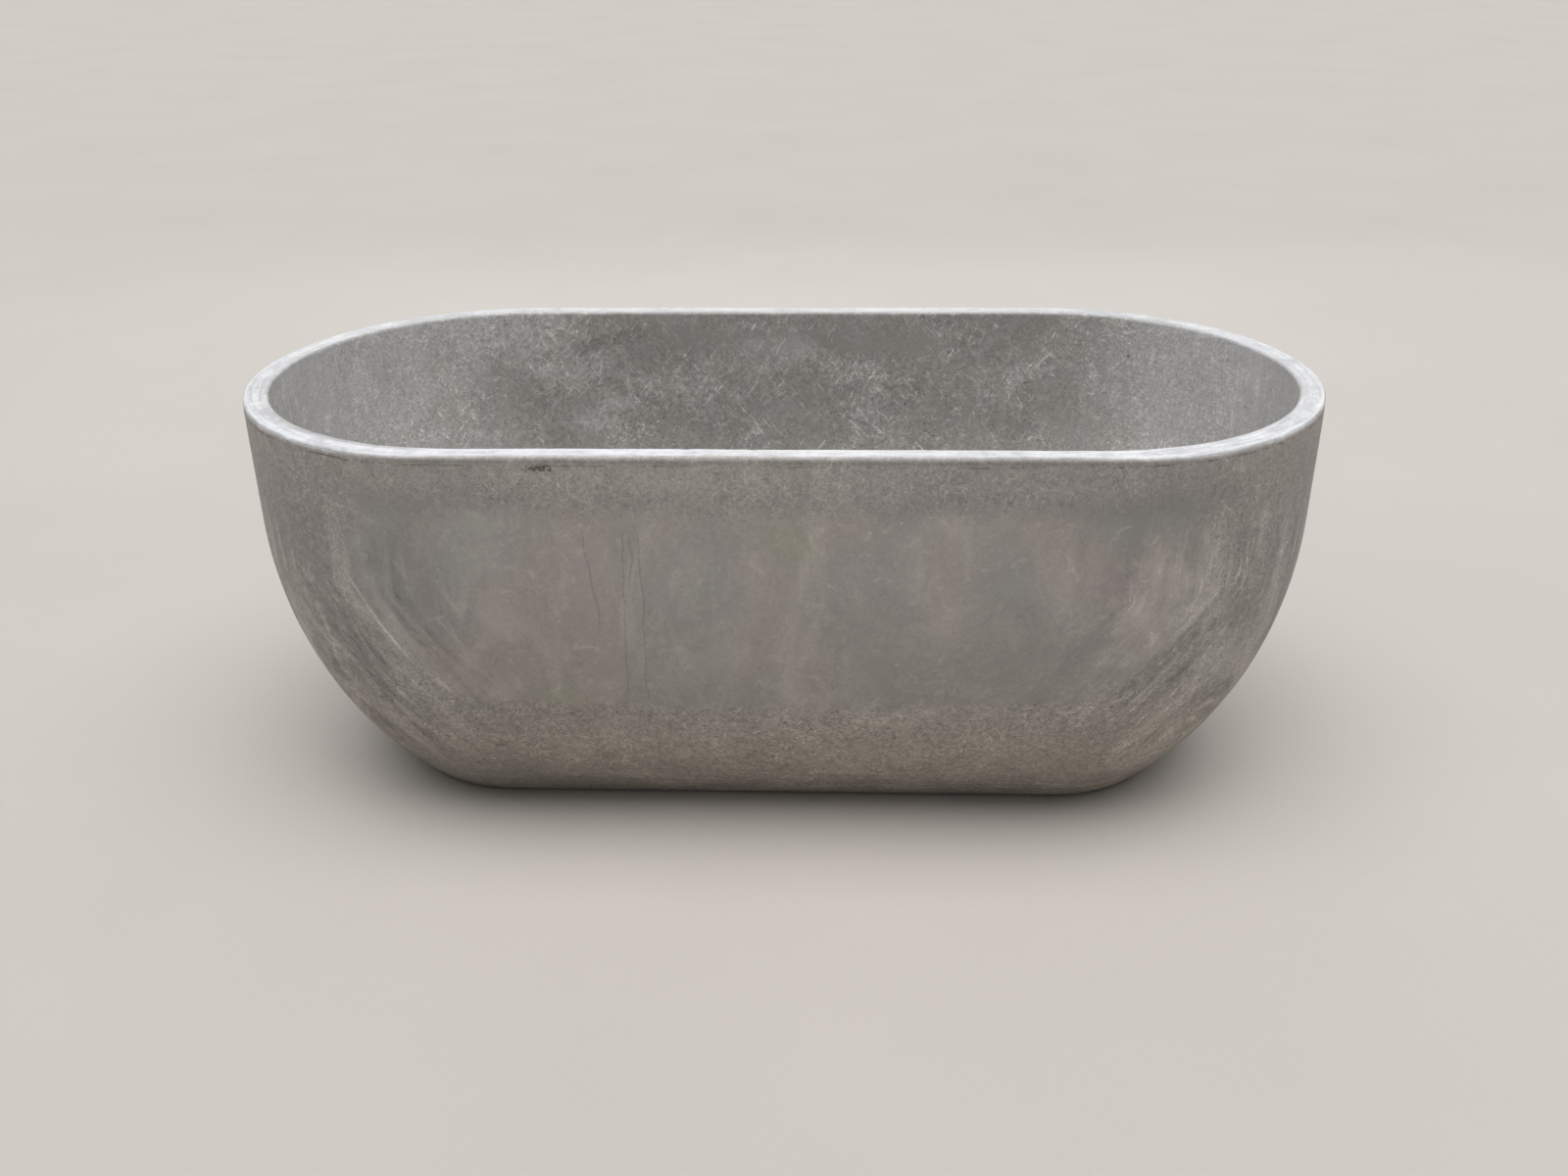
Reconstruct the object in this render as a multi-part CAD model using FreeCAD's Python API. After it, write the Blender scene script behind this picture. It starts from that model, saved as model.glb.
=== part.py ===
"""Concrete tub planter: one cast bowl on a stadium plan, with its bar cage, drains, plugs and feet.

Millimetres. +X runs along the tub, +Y to its back and +Z up. The origin is on the ground under the
middle of the tub. A wall section is drawn as (reach, height): reach is measured outwards from the
middle line of the straight sides, or from the upright axis of a round end.
"""
import FreeCAD
import Part
import math
import os

# Overall form of the bowl
tub_length = 1600.0
tub_width = 750.0
tub_height = 635.0
wall = 36.0
floor_slab = 45.0
band_height = 180.0
flank_radius = 650.0
foot_round = 14.0
cove_radius = 60.0
outer_rim_round = 6.0
inner_rim_round = 4.5

# Rubber feet: the bowl stands this far off the ground on them
ground_gap = 4.0
foot_radius = 30.0
foot_recess = 6.0
foot_bevel = 2.0
foot_fit = 0.3
foot_end_inset = 25.0
foot_spacer_gap = 9.0

# Drain sleeves: flanged tubes through the floor, each with a ledge at its lower end
drain_bore_radius = 20.0
sleeve_wall = 3.0
flange_reach = 12.0
flange_thickness = 4.0
sleeve_fit = 0.3
sleeve_setback = 3.0
ledge_width = 3.0
ledge_height = 4.0

# Drain grids: a rim with two crossed ribs
grid_thickness = 4.0
grid_rim = 3.5
grid_rib = 3.0
grid_fit = 0.3

# Drain plugs: stem, head, neck and knob
plug_fit = 0.3
plug_taper = 2.0
plug_grid_gap = 6.0
plug_head_radius = 28.0
plug_head_thickness = 6.0
plug_head_round = 2.0
plug_neck_radius = 7.0
plug_neck_height = 7.0
plug_knob_radius = 12.0
plug_knob_height = 8.0
plug_knob_round = 3.0

# Steel bars in the wall and the floor: hoops in the outer layer, upright bars in the inner one
bar_diameter = 6.0
bar_gap = 0.3
bar_bend = 40.0
hoop_top_cover = 24.0
upright_top_cover = 14.0
lowest_hoop_height = 150.0
cross_bar_end_inset = 25.0
end_bar_foot_reach = 60.0
floor_bar_sleeve_gap = 4.0
floor_bar_line_share = 0.214
floor_bar_overhang = 60.0

# Spacer blocks under the cross bars
spacer_side = 18.0

# Counts and angles
bar_flats = 6
flank_hoop_count = 2
cross_bar_count = 5
end_bar_angle = 45.0
half_turn = 180.0
quarter_turn = 90.0

# How far a cut runs past each face that it opens
overrun = 2.0

# Heights and reaches that follow from the sizes above
half_width = tub_width / 2
half_straight = (tub_length - tub_width) / 2
band_bottom = tub_height - band_height
flank_centre_reach = half_width - flank_radius
floor_top = ground_gap + floor_slab
sleeve_radius = drain_bore_radius + sleeve_wall
flange_radius = sleeve_radius + flange_reach
flange_seat = floor_top - flange_thickness
sleeve_bottom = ground_gap + sleeve_setback
grid_seat = sleeve_bottom + ledge_height
grid_top = grid_seat + grid_thickness
foot_top = ground_gap + foot_recess
bar_radius = bar_diameter / 2
layer_step = (bar_diameter + bar_gap) / 2
hoop_depth = wall / 2 - layer_step
upright_depth = wall / 2 + layer_step
cross_bar_level = ground_gap + floor_slab / 2 - layer_step
floor_bar_level = ground_gap + floor_slab / 2 + layer_step
cross_bar_span = 2 * (half_straight - cross_bar_end_inset)
cross_bar_pitch = cross_bar_span / (cross_bar_count - 1)
drain_line_x = (cross_bar_span - cross_bar_pitch) / 2
foot_line_x = half_straight - foot_end_inset

origin = FreeCAD.Vector(0, 0, 0)
along = FreeCAD.Vector(1, 0, 0)
up = FreeCAD.Vector(0, 0, 1)


def at(reach, height):
    """A point of a wall section, which is drawn in the upright plane across the tub."""
    return FreeCAD.Vector(0, reach, height)


def line(start, end):
    """A straight edge between two points."""
    return Part.LineSegment(start, end).toShape()


def arc(centre, radius, start, end):
    """An arc in the section plane between two angles, counted from straight outwards towards up."""
    points = []
    for angle in (start, (start + end) / 2, end):
        turn = math.radians(angle)
        points.append(centre + at(radius * math.cos(turn), radius * math.sin(turn)))
    return Part.Arc(*points).toShape()


def run(points):
    """Straight edges from point to point."""
    return [line(start, end) for start, end in zip(points, points[1:])]


def face_of(edges):
    """The flat face that closed edges go round."""
    return Part.Face(Part.Wire(Part.__sortEdges__(edges)))


def corner_reach(depth, level, corner):
    """Where the flat of the bowl line ends and its corner begins, at a depth and a level."""
    drop = band_bottom - level - corner
    return flank_centre_reach + math.sqrt((flank_radius - depth - corner) ** 2 - drop ** 2)


def bowl_line(start_reach, depth, level, corner, top):
    """The one line that shapes the bowl, at a depth under its outer face.

    It runs outwards along the floor at a level, turns up through the corner, follows the long arc of
    the flank and ends at the top of the upright band.
    """
    radius = flank_radius - depth
    flat_end = corner_reach(depth, level, corner)
    join = -math.degrees(math.asin((band_bottom - level - corner) / (radius - corner)))
    return [
        line(at(start_reach, level), at(flat_end, level)),
        arc(at(flat_end, level + corner), corner, -quarter_turn, join),
        arc(at(flank_centre_reach, band_bottom), radius, join, 0),
        line(at(half_width - depth, band_bottom), at(half_width - depth, top)),
    ]


def wall_section():
    """Half of the floor, and the wall up to its rim with both edges rounded."""
    outer_base = tub_height - outer_rim_round
    inner_base = tub_height - inner_rim_round
    outer_reach = half_width - outer_rim_round
    inner_reach = half_width - wall + inner_rim_round
    edges = bowl_line(0, 0, ground_gap, foot_round, outer_base)
    edges += bowl_line(0, wall, floor_top, cove_radius, inner_base)
    edges.append(arc(at(outer_reach, outer_base), outer_rim_round, 0, quarter_turn))
    edges.append(line(at(outer_reach, tub_height), at(inner_reach, tub_height)))
    edges.append(arc(at(inner_reach, inner_base), inner_rim_round, quarter_turn, half_turn))
    edges.append(line(at(0, floor_top), at(0, ground_gap)))
    return face_of(edges)


def stadium(section):
    """A half section carried round the stadium plan: two round ends joined by two straight sides."""
    right_end = section.copy()
    right_end.rotate(origin, up, -half_turn)
    right_end = right_end.revolve(origin, up, half_turn)
    right_end.translate(along * half_straight)
    left_end = right_end.copy()
    left_end.rotate(origin, up, half_turn)
    back_side = section.copy()
    back_side.translate(along * -half_straight)
    back_side = back_side.extrude(along * (2 * half_straight))
    front_side = back_side.copy()
    front_side.rotate(origin, up, half_turn)
    return right_end.multiFuse([back_side, left_end, front_side]).removeSplitter()


def disc(radius, bottom, top, place):
    """An upright cylinder between two heights, over a place on the ground."""
    return Part.makeCylinder(radius, top - bottom, place + up * bottom)


def drain_places():
    """The two drains, on the middle line, by side."""
    return {"left": along * -drain_line_x, "right": along * drain_line_x}


def floor_bar_lines():
    """How far the two floor bars lie from the middle line: past the sleeves, by a share of the base."""
    base_share = floor_bar_line_share * corner_reach(0, ground_gap, foot_round)
    line_y = sleeve_radius + floor_bar_sleeve_gap + bar_radius + base_share
    return {"front": -line_y, "back": line_y}


def foot_places():
    """The six feet, in three pairs under the straight sides, just outside the rows of spacers."""
    step_out = spacer_side / 2 + foot_spacer_gap + foot_radius
    places = {}
    for row, y in floor_bar_lines().items():
        for column, x in (("left", -foot_line_x), ("middle", 0), ("right", foot_line_x)):
            places[row + "_" + column] = FreeCAD.Vector(x, y + math.copysign(step_out, y), 0)
    return places


def tub_shell():
    """The cast bowl, with a stepped hole for each drain sleeve and a recess for each foot.

    The bars and their spacers lie inside it as cast, and the bowl is drawn solid round them.
    """
    shell = stadium(wall_section())
    below = ground_gap - overrun
    above = floor_top + overrun
    cuts = []
    for place in drain_places().values():
        cuts.append(disc(sleeve_radius + sleeve_fit, below, above, place))
        cuts.append(disc(flange_radius + sleeve_fit, flange_seat, above, place))
    for place in foot_places().values():
        cuts.append(disc(foot_radius + foot_fit, below, foot_top, place))
    return shell.cut(cuts)


def foot(place):
    """A rubber foot in its recess, bevelled where it meets the ground."""
    bevel = Part.makeCone(foot_radius - foot_bevel, foot_radius, foot_bevel, place)
    return bevel.fuse(disc(foot_radius, foot_bevel, foot_top, place)).removeSplitter()


def drain_sleeve(place):
    """A flanged tube set in the floor, with a ledge inside its lower end that carries the grid."""
    tube = disc(sleeve_radius, sleeve_bottom, floor_top, place)
    flange = disc(flange_radius, flange_seat, floor_top, place)
    bore = disc(drain_bore_radius, grid_seat, floor_top + overrun, place)
    mouth = disc(drain_bore_radius - ledge_width, sleeve_bottom - overrun, floor_top, place)
    return tube.fuse(flange).cut([bore, mouth]).removeSplitter()


def drain_grid(place):
    """A rim with two crossed ribs, dropped into the sleeve to hold the soil back."""
    radius = drain_bore_radius - grid_fit
    opening = disc(radius - grid_rim, grid_seat - overrun, grid_top + overrun, place)
    rim = disc(radius, grid_seat, grid_top, place).cut(opening)
    reach = radius - grid_rim / 2
    ribs = []
    for half_x, half_y in ((reach, grid_rib / 2), (grid_rib / 2, reach)):
        corner = place + FreeCAD.Vector(-half_x, -half_y, grid_seat)
        ribs.append(Part.makeBox(2 * half_x, 2 * half_y, grid_thickness, corner))
    return rim.multiFuse(ribs).removeSplitter()


def drain_plug(place):
    """A rubber stopper: tapered stem in the sleeve, head on the flange, and a knob to pull it by."""
    stem_bottom = grid_top + plug_grid_gap
    stem_reach = drain_bore_radius - plug_fit
    head_top = floor_top + plug_head_thickness
    head_base = head_top - plug_head_round
    head_reach = plug_head_radius - plug_head_round
    knob_bottom = head_top + plug_neck_height
    knob_top = knob_bottom + plug_knob_height
    knob_base = knob_top - plug_knob_round
    knob_reach = plug_knob_radius - plug_knob_round
    edges = run([
        at(0, stem_bottom),
        at(stem_reach - plug_taper, stem_bottom),
        at(stem_reach, floor_top),
        at(plug_head_radius, floor_top),
        at(plug_head_radius, head_base),
    ])
    edges.append(arc(at(head_reach, head_base), plug_head_round, 0, quarter_turn))
    edges += run([
        at(head_reach, head_top),
        at(plug_neck_radius, head_top),
        at(plug_neck_radius, knob_bottom),
        at(plug_knob_radius, knob_bottom),
        at(plug_knob_radius, knob_base),
    ])
    edges.append(arc(at(knob_reach, knob_base), plug_knob_round, 0, quarter_turn))
    edges += run([at(knob_reach, knob_top), at(0, knob_top), at(0, stem_bottom)])
    plug = face_of(edges).revolve(origin, up, 2 * half_turn)
    plug.translate(place)
    return plug


def bar_section(centre, lean, side):
    """A ribbed bar cut across, drawn with a few flats: one of them faces the lean direction."""
    corner_radius = bar_radius / math.cos(math.pi / bar_flats)
    corners = []
    for i in range(bar_flats + 1):
        turn = math.pi * (2 * i + 1) / bar_flats
        reach = lean * math.cos(turn) + side * math.sin(turn)
        corners.append(centre + reach * corner_radius)
    return Part.Face(Part.makePolygon(corners))


def hoop(centre, angle):
    """A closed ring of bar round the stadium plan, its section turned with the wall's slope."""
    turn = math.radians(angle)
    lean = at(math.cos(turn), -math.sin(turn))
    return stadium(bar_section(centre, lean, along.cross(lean)))


def hoops():
    """A hoop under the rim, one where the band ends, and more down the flank at even angles."""
    reach = half_width - hoop_depth
    rings = {
        "rim_hoop": hoop(at(reach, tub_height - hoop_top_cover), 0),
        "band_hoop": hoop(at(reach, band_bottom), 0),
    }
    radius = flank_radius - hoop_depth
    lowest = math.degrees(math.asin((band_bottom - lowest_hoop_height) / radius))
    for i in range(1, flank_hoop_count + 1):
        angle = lowest * i / flank_hoop_count
        turn = math.radians(angle)
        drop = at(radius * math.cos(turn), -radius * math.sin(turn))
        centre = at(flank_centre_reach, band_bottom) + drop
        rings["flank_hoop_%d" % i] = hoop(centre, angle)
    return rings


def upright_bar(foot_reach):
    """A bar from a reach on the floor, round the corner and up inside the hoops to near the rim."""
    top = tub_height - upright_top_cover
    edges = bowl_line(foot_reach, upright_depth, cross_bar_level, bar_bend, top)
    section = bar_section(at(foot_reach, cross_bar_level), up, along)
    return Part.Wire(edges).makePipeShell([section.OuterWire], True, False)


def cross_bar_places():
    """The cross bars' places along the straight sides, at an even pitch."""
    return [cross_bar_pitch * i - cross_bar_span / 2 for i in range(cross_bar_count)]


def cross_bar(x):
    """A bar bent to the bowl's line: down one side, across the floor and up the other."""
    back = upright_bar(0)
    front = back.copy()
    front.rotate(origin, up, half_turn)
    bar = back.fuse(front).removeSplitter()
    bar.translate(along * x)
    return bar


def end_bar(side, angle):
    """A bar down the wall of a round end, with its foot turned in under the floor."""
    bar = upright_bar(end_bar_foot_reach)
    bar.rotate(origin, up, side * (angle - quarter_turn))
    bar.translate(along * (side * half_straight))
    return bar


def floor_bar(y):
    """A straight bar along the floor, over the cross bars."""
    half_length = half_straight + floor_bar_overhang
    start = FreeCAD.Vector(-half_length, y, floor_bar_level)
    return bar_section(start, up, along.cross(up)).extrude(along * (2 * half_length))


def bar_spacers():
    """Blocks under the cross bars, flush with the base, that held the steel off the mould."""
    height = cross_bar_level - bar_radius - ground_gap
    half_side = spacer_side / 2
    blocks = []
    for x in cross_bar_places():
        for y in floor_bar_lines().values():
            corner = FreeCAD.Vector(x - half_side, y - half_side, ground_gap)
            blocks.append(Part.makeBox(spacer_side, spacer_side, height, corner))
    return Part.makeCompound(blocks)


def pieces():
    """Every piece of the planter, by its name."""
    made = {"tub_shell": tub_shell(), "bar_spacers": bar_spacers()}
    made.update(hoops())
    for i, x in enumerate(cross_bar_places()):
        made["cross_bar_%d" % (i + 1)] = cross_bar(x)
    for end, side in (("left", -1), ("right", 1)):
        for row, turn in (("front", -1), ("middle", 0), ("back", 1)):
            made["%s_end_bar_%s" % (end, row)] = end_bar(side, turn * end_bar_angle)
    for row, y in floor_bar_lines().items():
        made[row + "_floor_bar"] = floor_bar(y)
    for side, place in drain_places().items():
        made[side + "_drain_sleeve"] = drain_sleeve(place)
        made[side + "_drain_grid"] = drain_grid(place)
        made[side + "_drain_plug"] = drain_plug(place)
    for name, place in foot_places().items():
        made[name + "_foot"] = foot(place)
    return made


os.makedirs("parts", exist_ok=True)
for name, shape in pieces().items():
    shape.exportStep("parts/" + name + ".step")
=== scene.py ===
"""The looks of a cast concrete tub planter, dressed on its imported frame.

Metres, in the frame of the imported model: +X runs along the tub, +Y to its back and +Z up, with the
origin on the ground under the middle of the tub.
"""
import logging
import math
from dataclasses import dataclass, replace
from enum import Enum
from typing import Any, Union

import bpy
from mathutils import Matrix, Vector


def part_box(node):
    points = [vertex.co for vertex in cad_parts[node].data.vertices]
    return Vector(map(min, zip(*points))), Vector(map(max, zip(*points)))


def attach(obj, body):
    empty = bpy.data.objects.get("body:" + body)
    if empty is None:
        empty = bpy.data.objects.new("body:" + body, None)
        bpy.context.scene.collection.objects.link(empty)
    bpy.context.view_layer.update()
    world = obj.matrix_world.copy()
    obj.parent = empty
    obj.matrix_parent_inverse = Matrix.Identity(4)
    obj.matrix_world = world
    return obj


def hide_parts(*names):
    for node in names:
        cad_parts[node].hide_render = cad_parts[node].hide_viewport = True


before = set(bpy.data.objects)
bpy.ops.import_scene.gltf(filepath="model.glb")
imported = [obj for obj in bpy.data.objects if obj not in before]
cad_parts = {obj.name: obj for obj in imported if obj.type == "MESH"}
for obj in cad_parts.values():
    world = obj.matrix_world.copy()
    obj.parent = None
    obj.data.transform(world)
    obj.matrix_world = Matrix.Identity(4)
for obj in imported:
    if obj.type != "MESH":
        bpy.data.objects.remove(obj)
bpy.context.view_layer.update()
LOG = logging.getLogger("planter")

Socket = bpy.types.NodeSocket
Value = Union["Field", Socket, float, int, str, tuple]
Colour = tuple[float, float, float]
Point = tuple[float, float]

MM = 0.001
QUARTER_TURN = math.pi / 2
HALF_TURN = math.pi


class Share(Enum):
    """Attributes that the bowl's mesh carries for its finish."""

    RIM = "rim_share"
    INSIDE = "inside_share"
    FREE = "free_share"
    DOWN = "down_from_rim"
    RAIL = "rail_place"


class Field:
    """A value that varies over a surface; what is done with it adds the nodes that work it out."""

    def __init__(self, graph: "Graph", socket: Socket) -> None:
        """Keeps the graph that the value belongs to and the socket that gives it."""
        self.graph = graph
        self.socket = socket

    def __add__(self, other: Value) -> "Field":
        """The sum with another value."""
        return self.graph.math("ADD", self, other)

    def __sub__(self, other: Value) -> "Field":
        """The value less another."""
        return self.graph.math("SUBTRACT", self, other)

    def __rsub__(self, other: float) -> "Field":
        """A number less the value."""
        return self.graph.math("SUBTRACT", other, self)

    def __mul__(self, other: Value) -> "Field":
        """The product with another value."""
        return self.graph.math("MULTIPLY", self, other)

    def __truediv__(self, other: Value) -> "Field":
        """The value divided by another."""
        return self.graph.math("DIVIDE", self, other)

    def __abs__(self) -> "Field":
        """The value without its sign."""
        return self.graph.math("ABSOLUTE", self)

    __radd__ = __add__
    __rmul__ = __mul__

    def over(self, other: Value) -> "Field":
        """One where the value is above another, else zero."""
        return self.graph.math("GREATER_THAN", self, other)

    def under(self, other: Value) -> "Field":
        """One where the value is below another, else zero."""
        return self.graph.math("LESS_THAN", self, other)

    def most(self, other: Value) -> "Field":
        """The larger of two values."""
        return self.graph.math("MAXIMUM", self, other)

    def clamped(self) -> "Field":
        """The value kept between 0 and 1."""
        return self.graph.math("MULTIPLY", self, 1.0, clamp=True)

    def swing(self, amount: float) -> "Field":
        """A noise between 0 and 1 turned into one from minus the amount to the amount."""
        return self.graph.math("MULTIPLY_ADD", self, 2 * amount, -amount)

    def ease(self, low: Value, high: Value, start: Value = 0.0, end: Value = 1.0) -> "Field":
        """A smooth step from start to end as the value goes from low to high, which may be lower."""
        inputs = {0: self, 1: low, 2: high, 3: start, 4: end}
        return self.graph.field("ShaderNodeMapRange", inputs, interpolation_type="SMOOTHSTEP")

    def band(self, centre: Value, reach: Value, start: float = 0.0) -> "Field":
        """One within the start of a centre, falling smoothly to zero at the reach each way."""
        return abs(self - centre).ease(reach, start)

    def moved(self, shift: Value) -> "Field":
        """The vector with another added."""
        return self.graph.vector("ADD", self, shift)

    def stretched(self, factors: Value) -> "Field":
        """The vector with each part multiplied by its own factor."""
        return self.graph.vector("MULTIPLY", self, factors)

    def scaled(self, factor: Value) -> "Field":
        """The vector or colour times a number."""
        return self.graph.field("ShaderNodeVectorMath", {0: self, 3: factor}, operation="SCALE")

    def lit(self, change: Value) -> "Field":
        """The colour made lighter, or darker where the change is below zero."""
        return self.scaled(1.0 + change)

    def parts(self) -> tuple["Field", "Field", "Field"]:
        """The three parts of the vector."""
        outputs = self.graph.node("ShaderNodeSeparateXYZ", {0: self}).outputs
        return tuple(Field(self.graph, outputs[index]) for index in range(3))

    def noise(
        self,
        scale: float,
        detail: float = 2.0,
        roughness: float = 0.5,
        distortion: float = 0.0,
        colour: bool = False,
    ) -> "Field":
        """Soft noise between 0 and 1, read where the vector says.

        Args:
            scale: features per metre.
            detail: how many finer layers it has.
            roughness: how strong the finer layers are.
            distortion: how far it is swirled.
            colour: whether three separate noises come out as a colour.

        Returns:
            The noise.
        """
        inputs = {"Vector": self, "Scale": scale, "Detail": detail, "Roughness": roughness}
        inputs["Distortion"] = distortion
        return self.graph.field("ShaderNodeTexNoise", inputs, 1 if colour else 0)

    def spots(self, scale: float, size: Value, share: Value) -> "Field":
        """Scattered round spots, read where the vector says.

        Args:
            scale: cells per metre.
            size: a spot's radius, as a share of its cell.
            share: the share of cells that have a spot.

        Returns:
            One in a spot and zero outside.
        """
        cells = self.graph.node("ShaderNodeTexVoronoi", {"Vector": self, "Scale": scale})
        chance = Field(self.graph, cells.outputs["Color"]).parts()[0]
        inside = Field(self.graph, cells.outputs["Distance"]).ease(size, size * 0.4)
        return inside * chance.under(share)


class Graph:
    """Adds nodes to a tree and hands back the fields that they give."""

    def __init__(self, tree: bpy.types.NodeTree) -> None:
        """Keeps the shader tree or geometry tree that the nodes go into."""
        self.tree = tree

    def node(self, kind: str, inputs: dict | None = None, **settings: Any) -> bpy.types.Node:
        """Adds a node.

        Args:
            kind: the node's type name.
            inputs: values, fields or sockets, by the input's name or index.
            **settings: the node's own properties.

        Returns:
            The new node.
        """
        made = self.tree.nodes.new(kind)
        for name, value in settings.items():
            setattr(made, name, value)
        for key, value in (inputs or {}).items():
            given = value.socket if isinstance(value, Field) else value
            if isinstance(given, Socket):
                self.tree.links.new(given, made.inputs[key])
            else:
                made.inputs[key].default_value = given
        return made

    def field(self, kind: str, inputs: dict | None = None, output: int | str = 0, **settings: Any) -> Field:
        """Adds a node and hands back one of its outputs."""
        return Field(self, self.node(kind, inputs, **settings).outputs[output])

    def math(self, operation: str, *values: Value, clamp: bool = False) -> Field:
        """One step of arithmetic, with its result kept between 0 and 1 where clamp is set."""
        inputs = dict(enumerate(values))
        return self.field("ShaderNodeMath", inputs, operation=operation, use_clamp=clamp)

    def vector(self, operation: str, *values: Value) -> Field:
        """One step of vector arithmetic."""
        return self.field("ShaderNodeVectorMath", dict(enumerate(values)), operation=operation)

    def join(self, x: Value = 0.0, y: Value = 0.0, z: Value = 0.0) -> Field:
        """A vector from its three parts."""
        return self.field("ShaderNodeCombineXYZ", {0: x, 1: y, 2: z})

    def oval(self, across: Field, up: Field) -> Field:
        """How far out a point of an oval is, from its two distances as shares of the radii."""
        return self.math("SQRT", across * across + up * up)

    def blend(self, share: Value, first: Value, second: Value, mode: str = "MIX") -> Field:
        """Two colours mixed, the second by its share."""
        inputs = {0: share, 6: opaque(first), 7: opaque(second)}
        return self.field("ShaderNodeMix", inputs, 2, data_type="RGBA", blend_type=mode)

    def between(self, share: Value, first: Value, second: Value) -> Field:
        """Two numbers mixed, the second by its share."""
        return self.field("ShaderNodeMix", {0: share, 2: first, 3: second})

    def attribute(self, share: Share, output: str = "Fac") -> Field:
        """An attribute of the mesh, read in a shader."""
        return self.field("ShaderNodeAttribute", None, output, attribute_name=share.value)

    def place(self) -> Field:
        """Where a point of the surface lies, in metres."""
        return self.field("ShaderNodeTexCoord", None, "Object")


class BowlGraph(Graph):
    """The nodes of the bowl's finish, with the measures that its marks are placed by."""

    def __init__(self, tree: bpy.types.NodeTree) -> None:
        """Reads where a point lies on the bowl.

        Args:
            tree: the finish's shader tree.
        """
        super().__init__(tree)
        self.at = self.place()
        self.x, self.y, self.z = self.at.parts()
        self.out = abs(self.x)
        self.down = self.attribute(Share.DOWN)
        self.rail = self.attribute(Share.RAIL, "Vector")
        self.inside = self.attribute(Share.INSIDE)
        self.outside = 1.0 - self.inside
        self.front = self.y.ease(-0.13, -0.20) * self.outside

    def swirled(self, scale: float, reach: float) -> Field:
        """The place pushed to and fro by soft noise of a scale, within a reach."""
        push = self.vector("SUBTRACT", self.at.noise(scale, 1.0, colour=True), (0.5, 0.5, 0.5))
        return self.at.moved(push.scaled(reach))

    def falling(self, scale: float, stretch: float) -> Field:
        """The place along the rail and down the wall, each scaled, for noise drawn out either way."""
        return self.rail.scaled(scale).moved(self.join(0.0, 0.0, self.down * stretch))


def opaque(colour: Value) -> Value:
    """A colour with its alpha added where it is plain numbers."""
    return (*colour, 1.0) if isinstance(colour, tuple) else colour


class Finish:
    """A material under its own name, with the parts that all finishes share."""

    name: str
    graph_kind = Graph

    def material(self) -> bpy.types.Material:
        """Makes the finish's material.

        Returns:
            The new material.
        """
        made = bpy.data.materials.new(self.name)
        made.use_nodes = True
        made.node_tree.nodes.clear()
        graph = self.graph_kind(made.node_tree)
        graph.node("ShaderNodeOutputMaterial", {"Surface": self.surface(graph)})
        return made

    def surface(self, graph: Graph) -> Field:
        """The finish's shader, drawn in the material's graph; each finish has its own."""
        raise NotImplementedError

    @staticmethod
    def principled(graph: Graph, height: Field | None = None, **inputs: Value) -> Field:
        """The main shader, with a bump where a height is given.

        Args:
            graph: the material's nodes.
            height: the surface's relief in millimetres.
            **inputs: the shader's inputs, with _ for a space in their names.

        Returns:
            The shader.
        """
        named = {key.replace("_", " "): value for key, value in inputs.items()}
        named["Base Color"] = opaque(named["Base Color"])
        if height is not None:
            relief = {"Height": height, "Distance": MM, "Strength": 1.0}
            named["Normal"] = graph.field("ShaderNodeBump", relief)
        return graph.field("ShaderNodeBsdfPrincipled", named)


@dataclass(frozen=True)
class Hairline:
    """A thin run of water down the front, from a place on it to a lower level."""

    x: float
    top: float
    bottom: float
    drift: float
    seed: float


@dataclass(frozen=True)
class Scuff:
    """A pale stroke that a trowel left on a shoulder, from one place on it to another."""

    start_x: float
    start_z: float
    end_x: float
    end_z: float
    width: float
    strength: float


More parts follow.
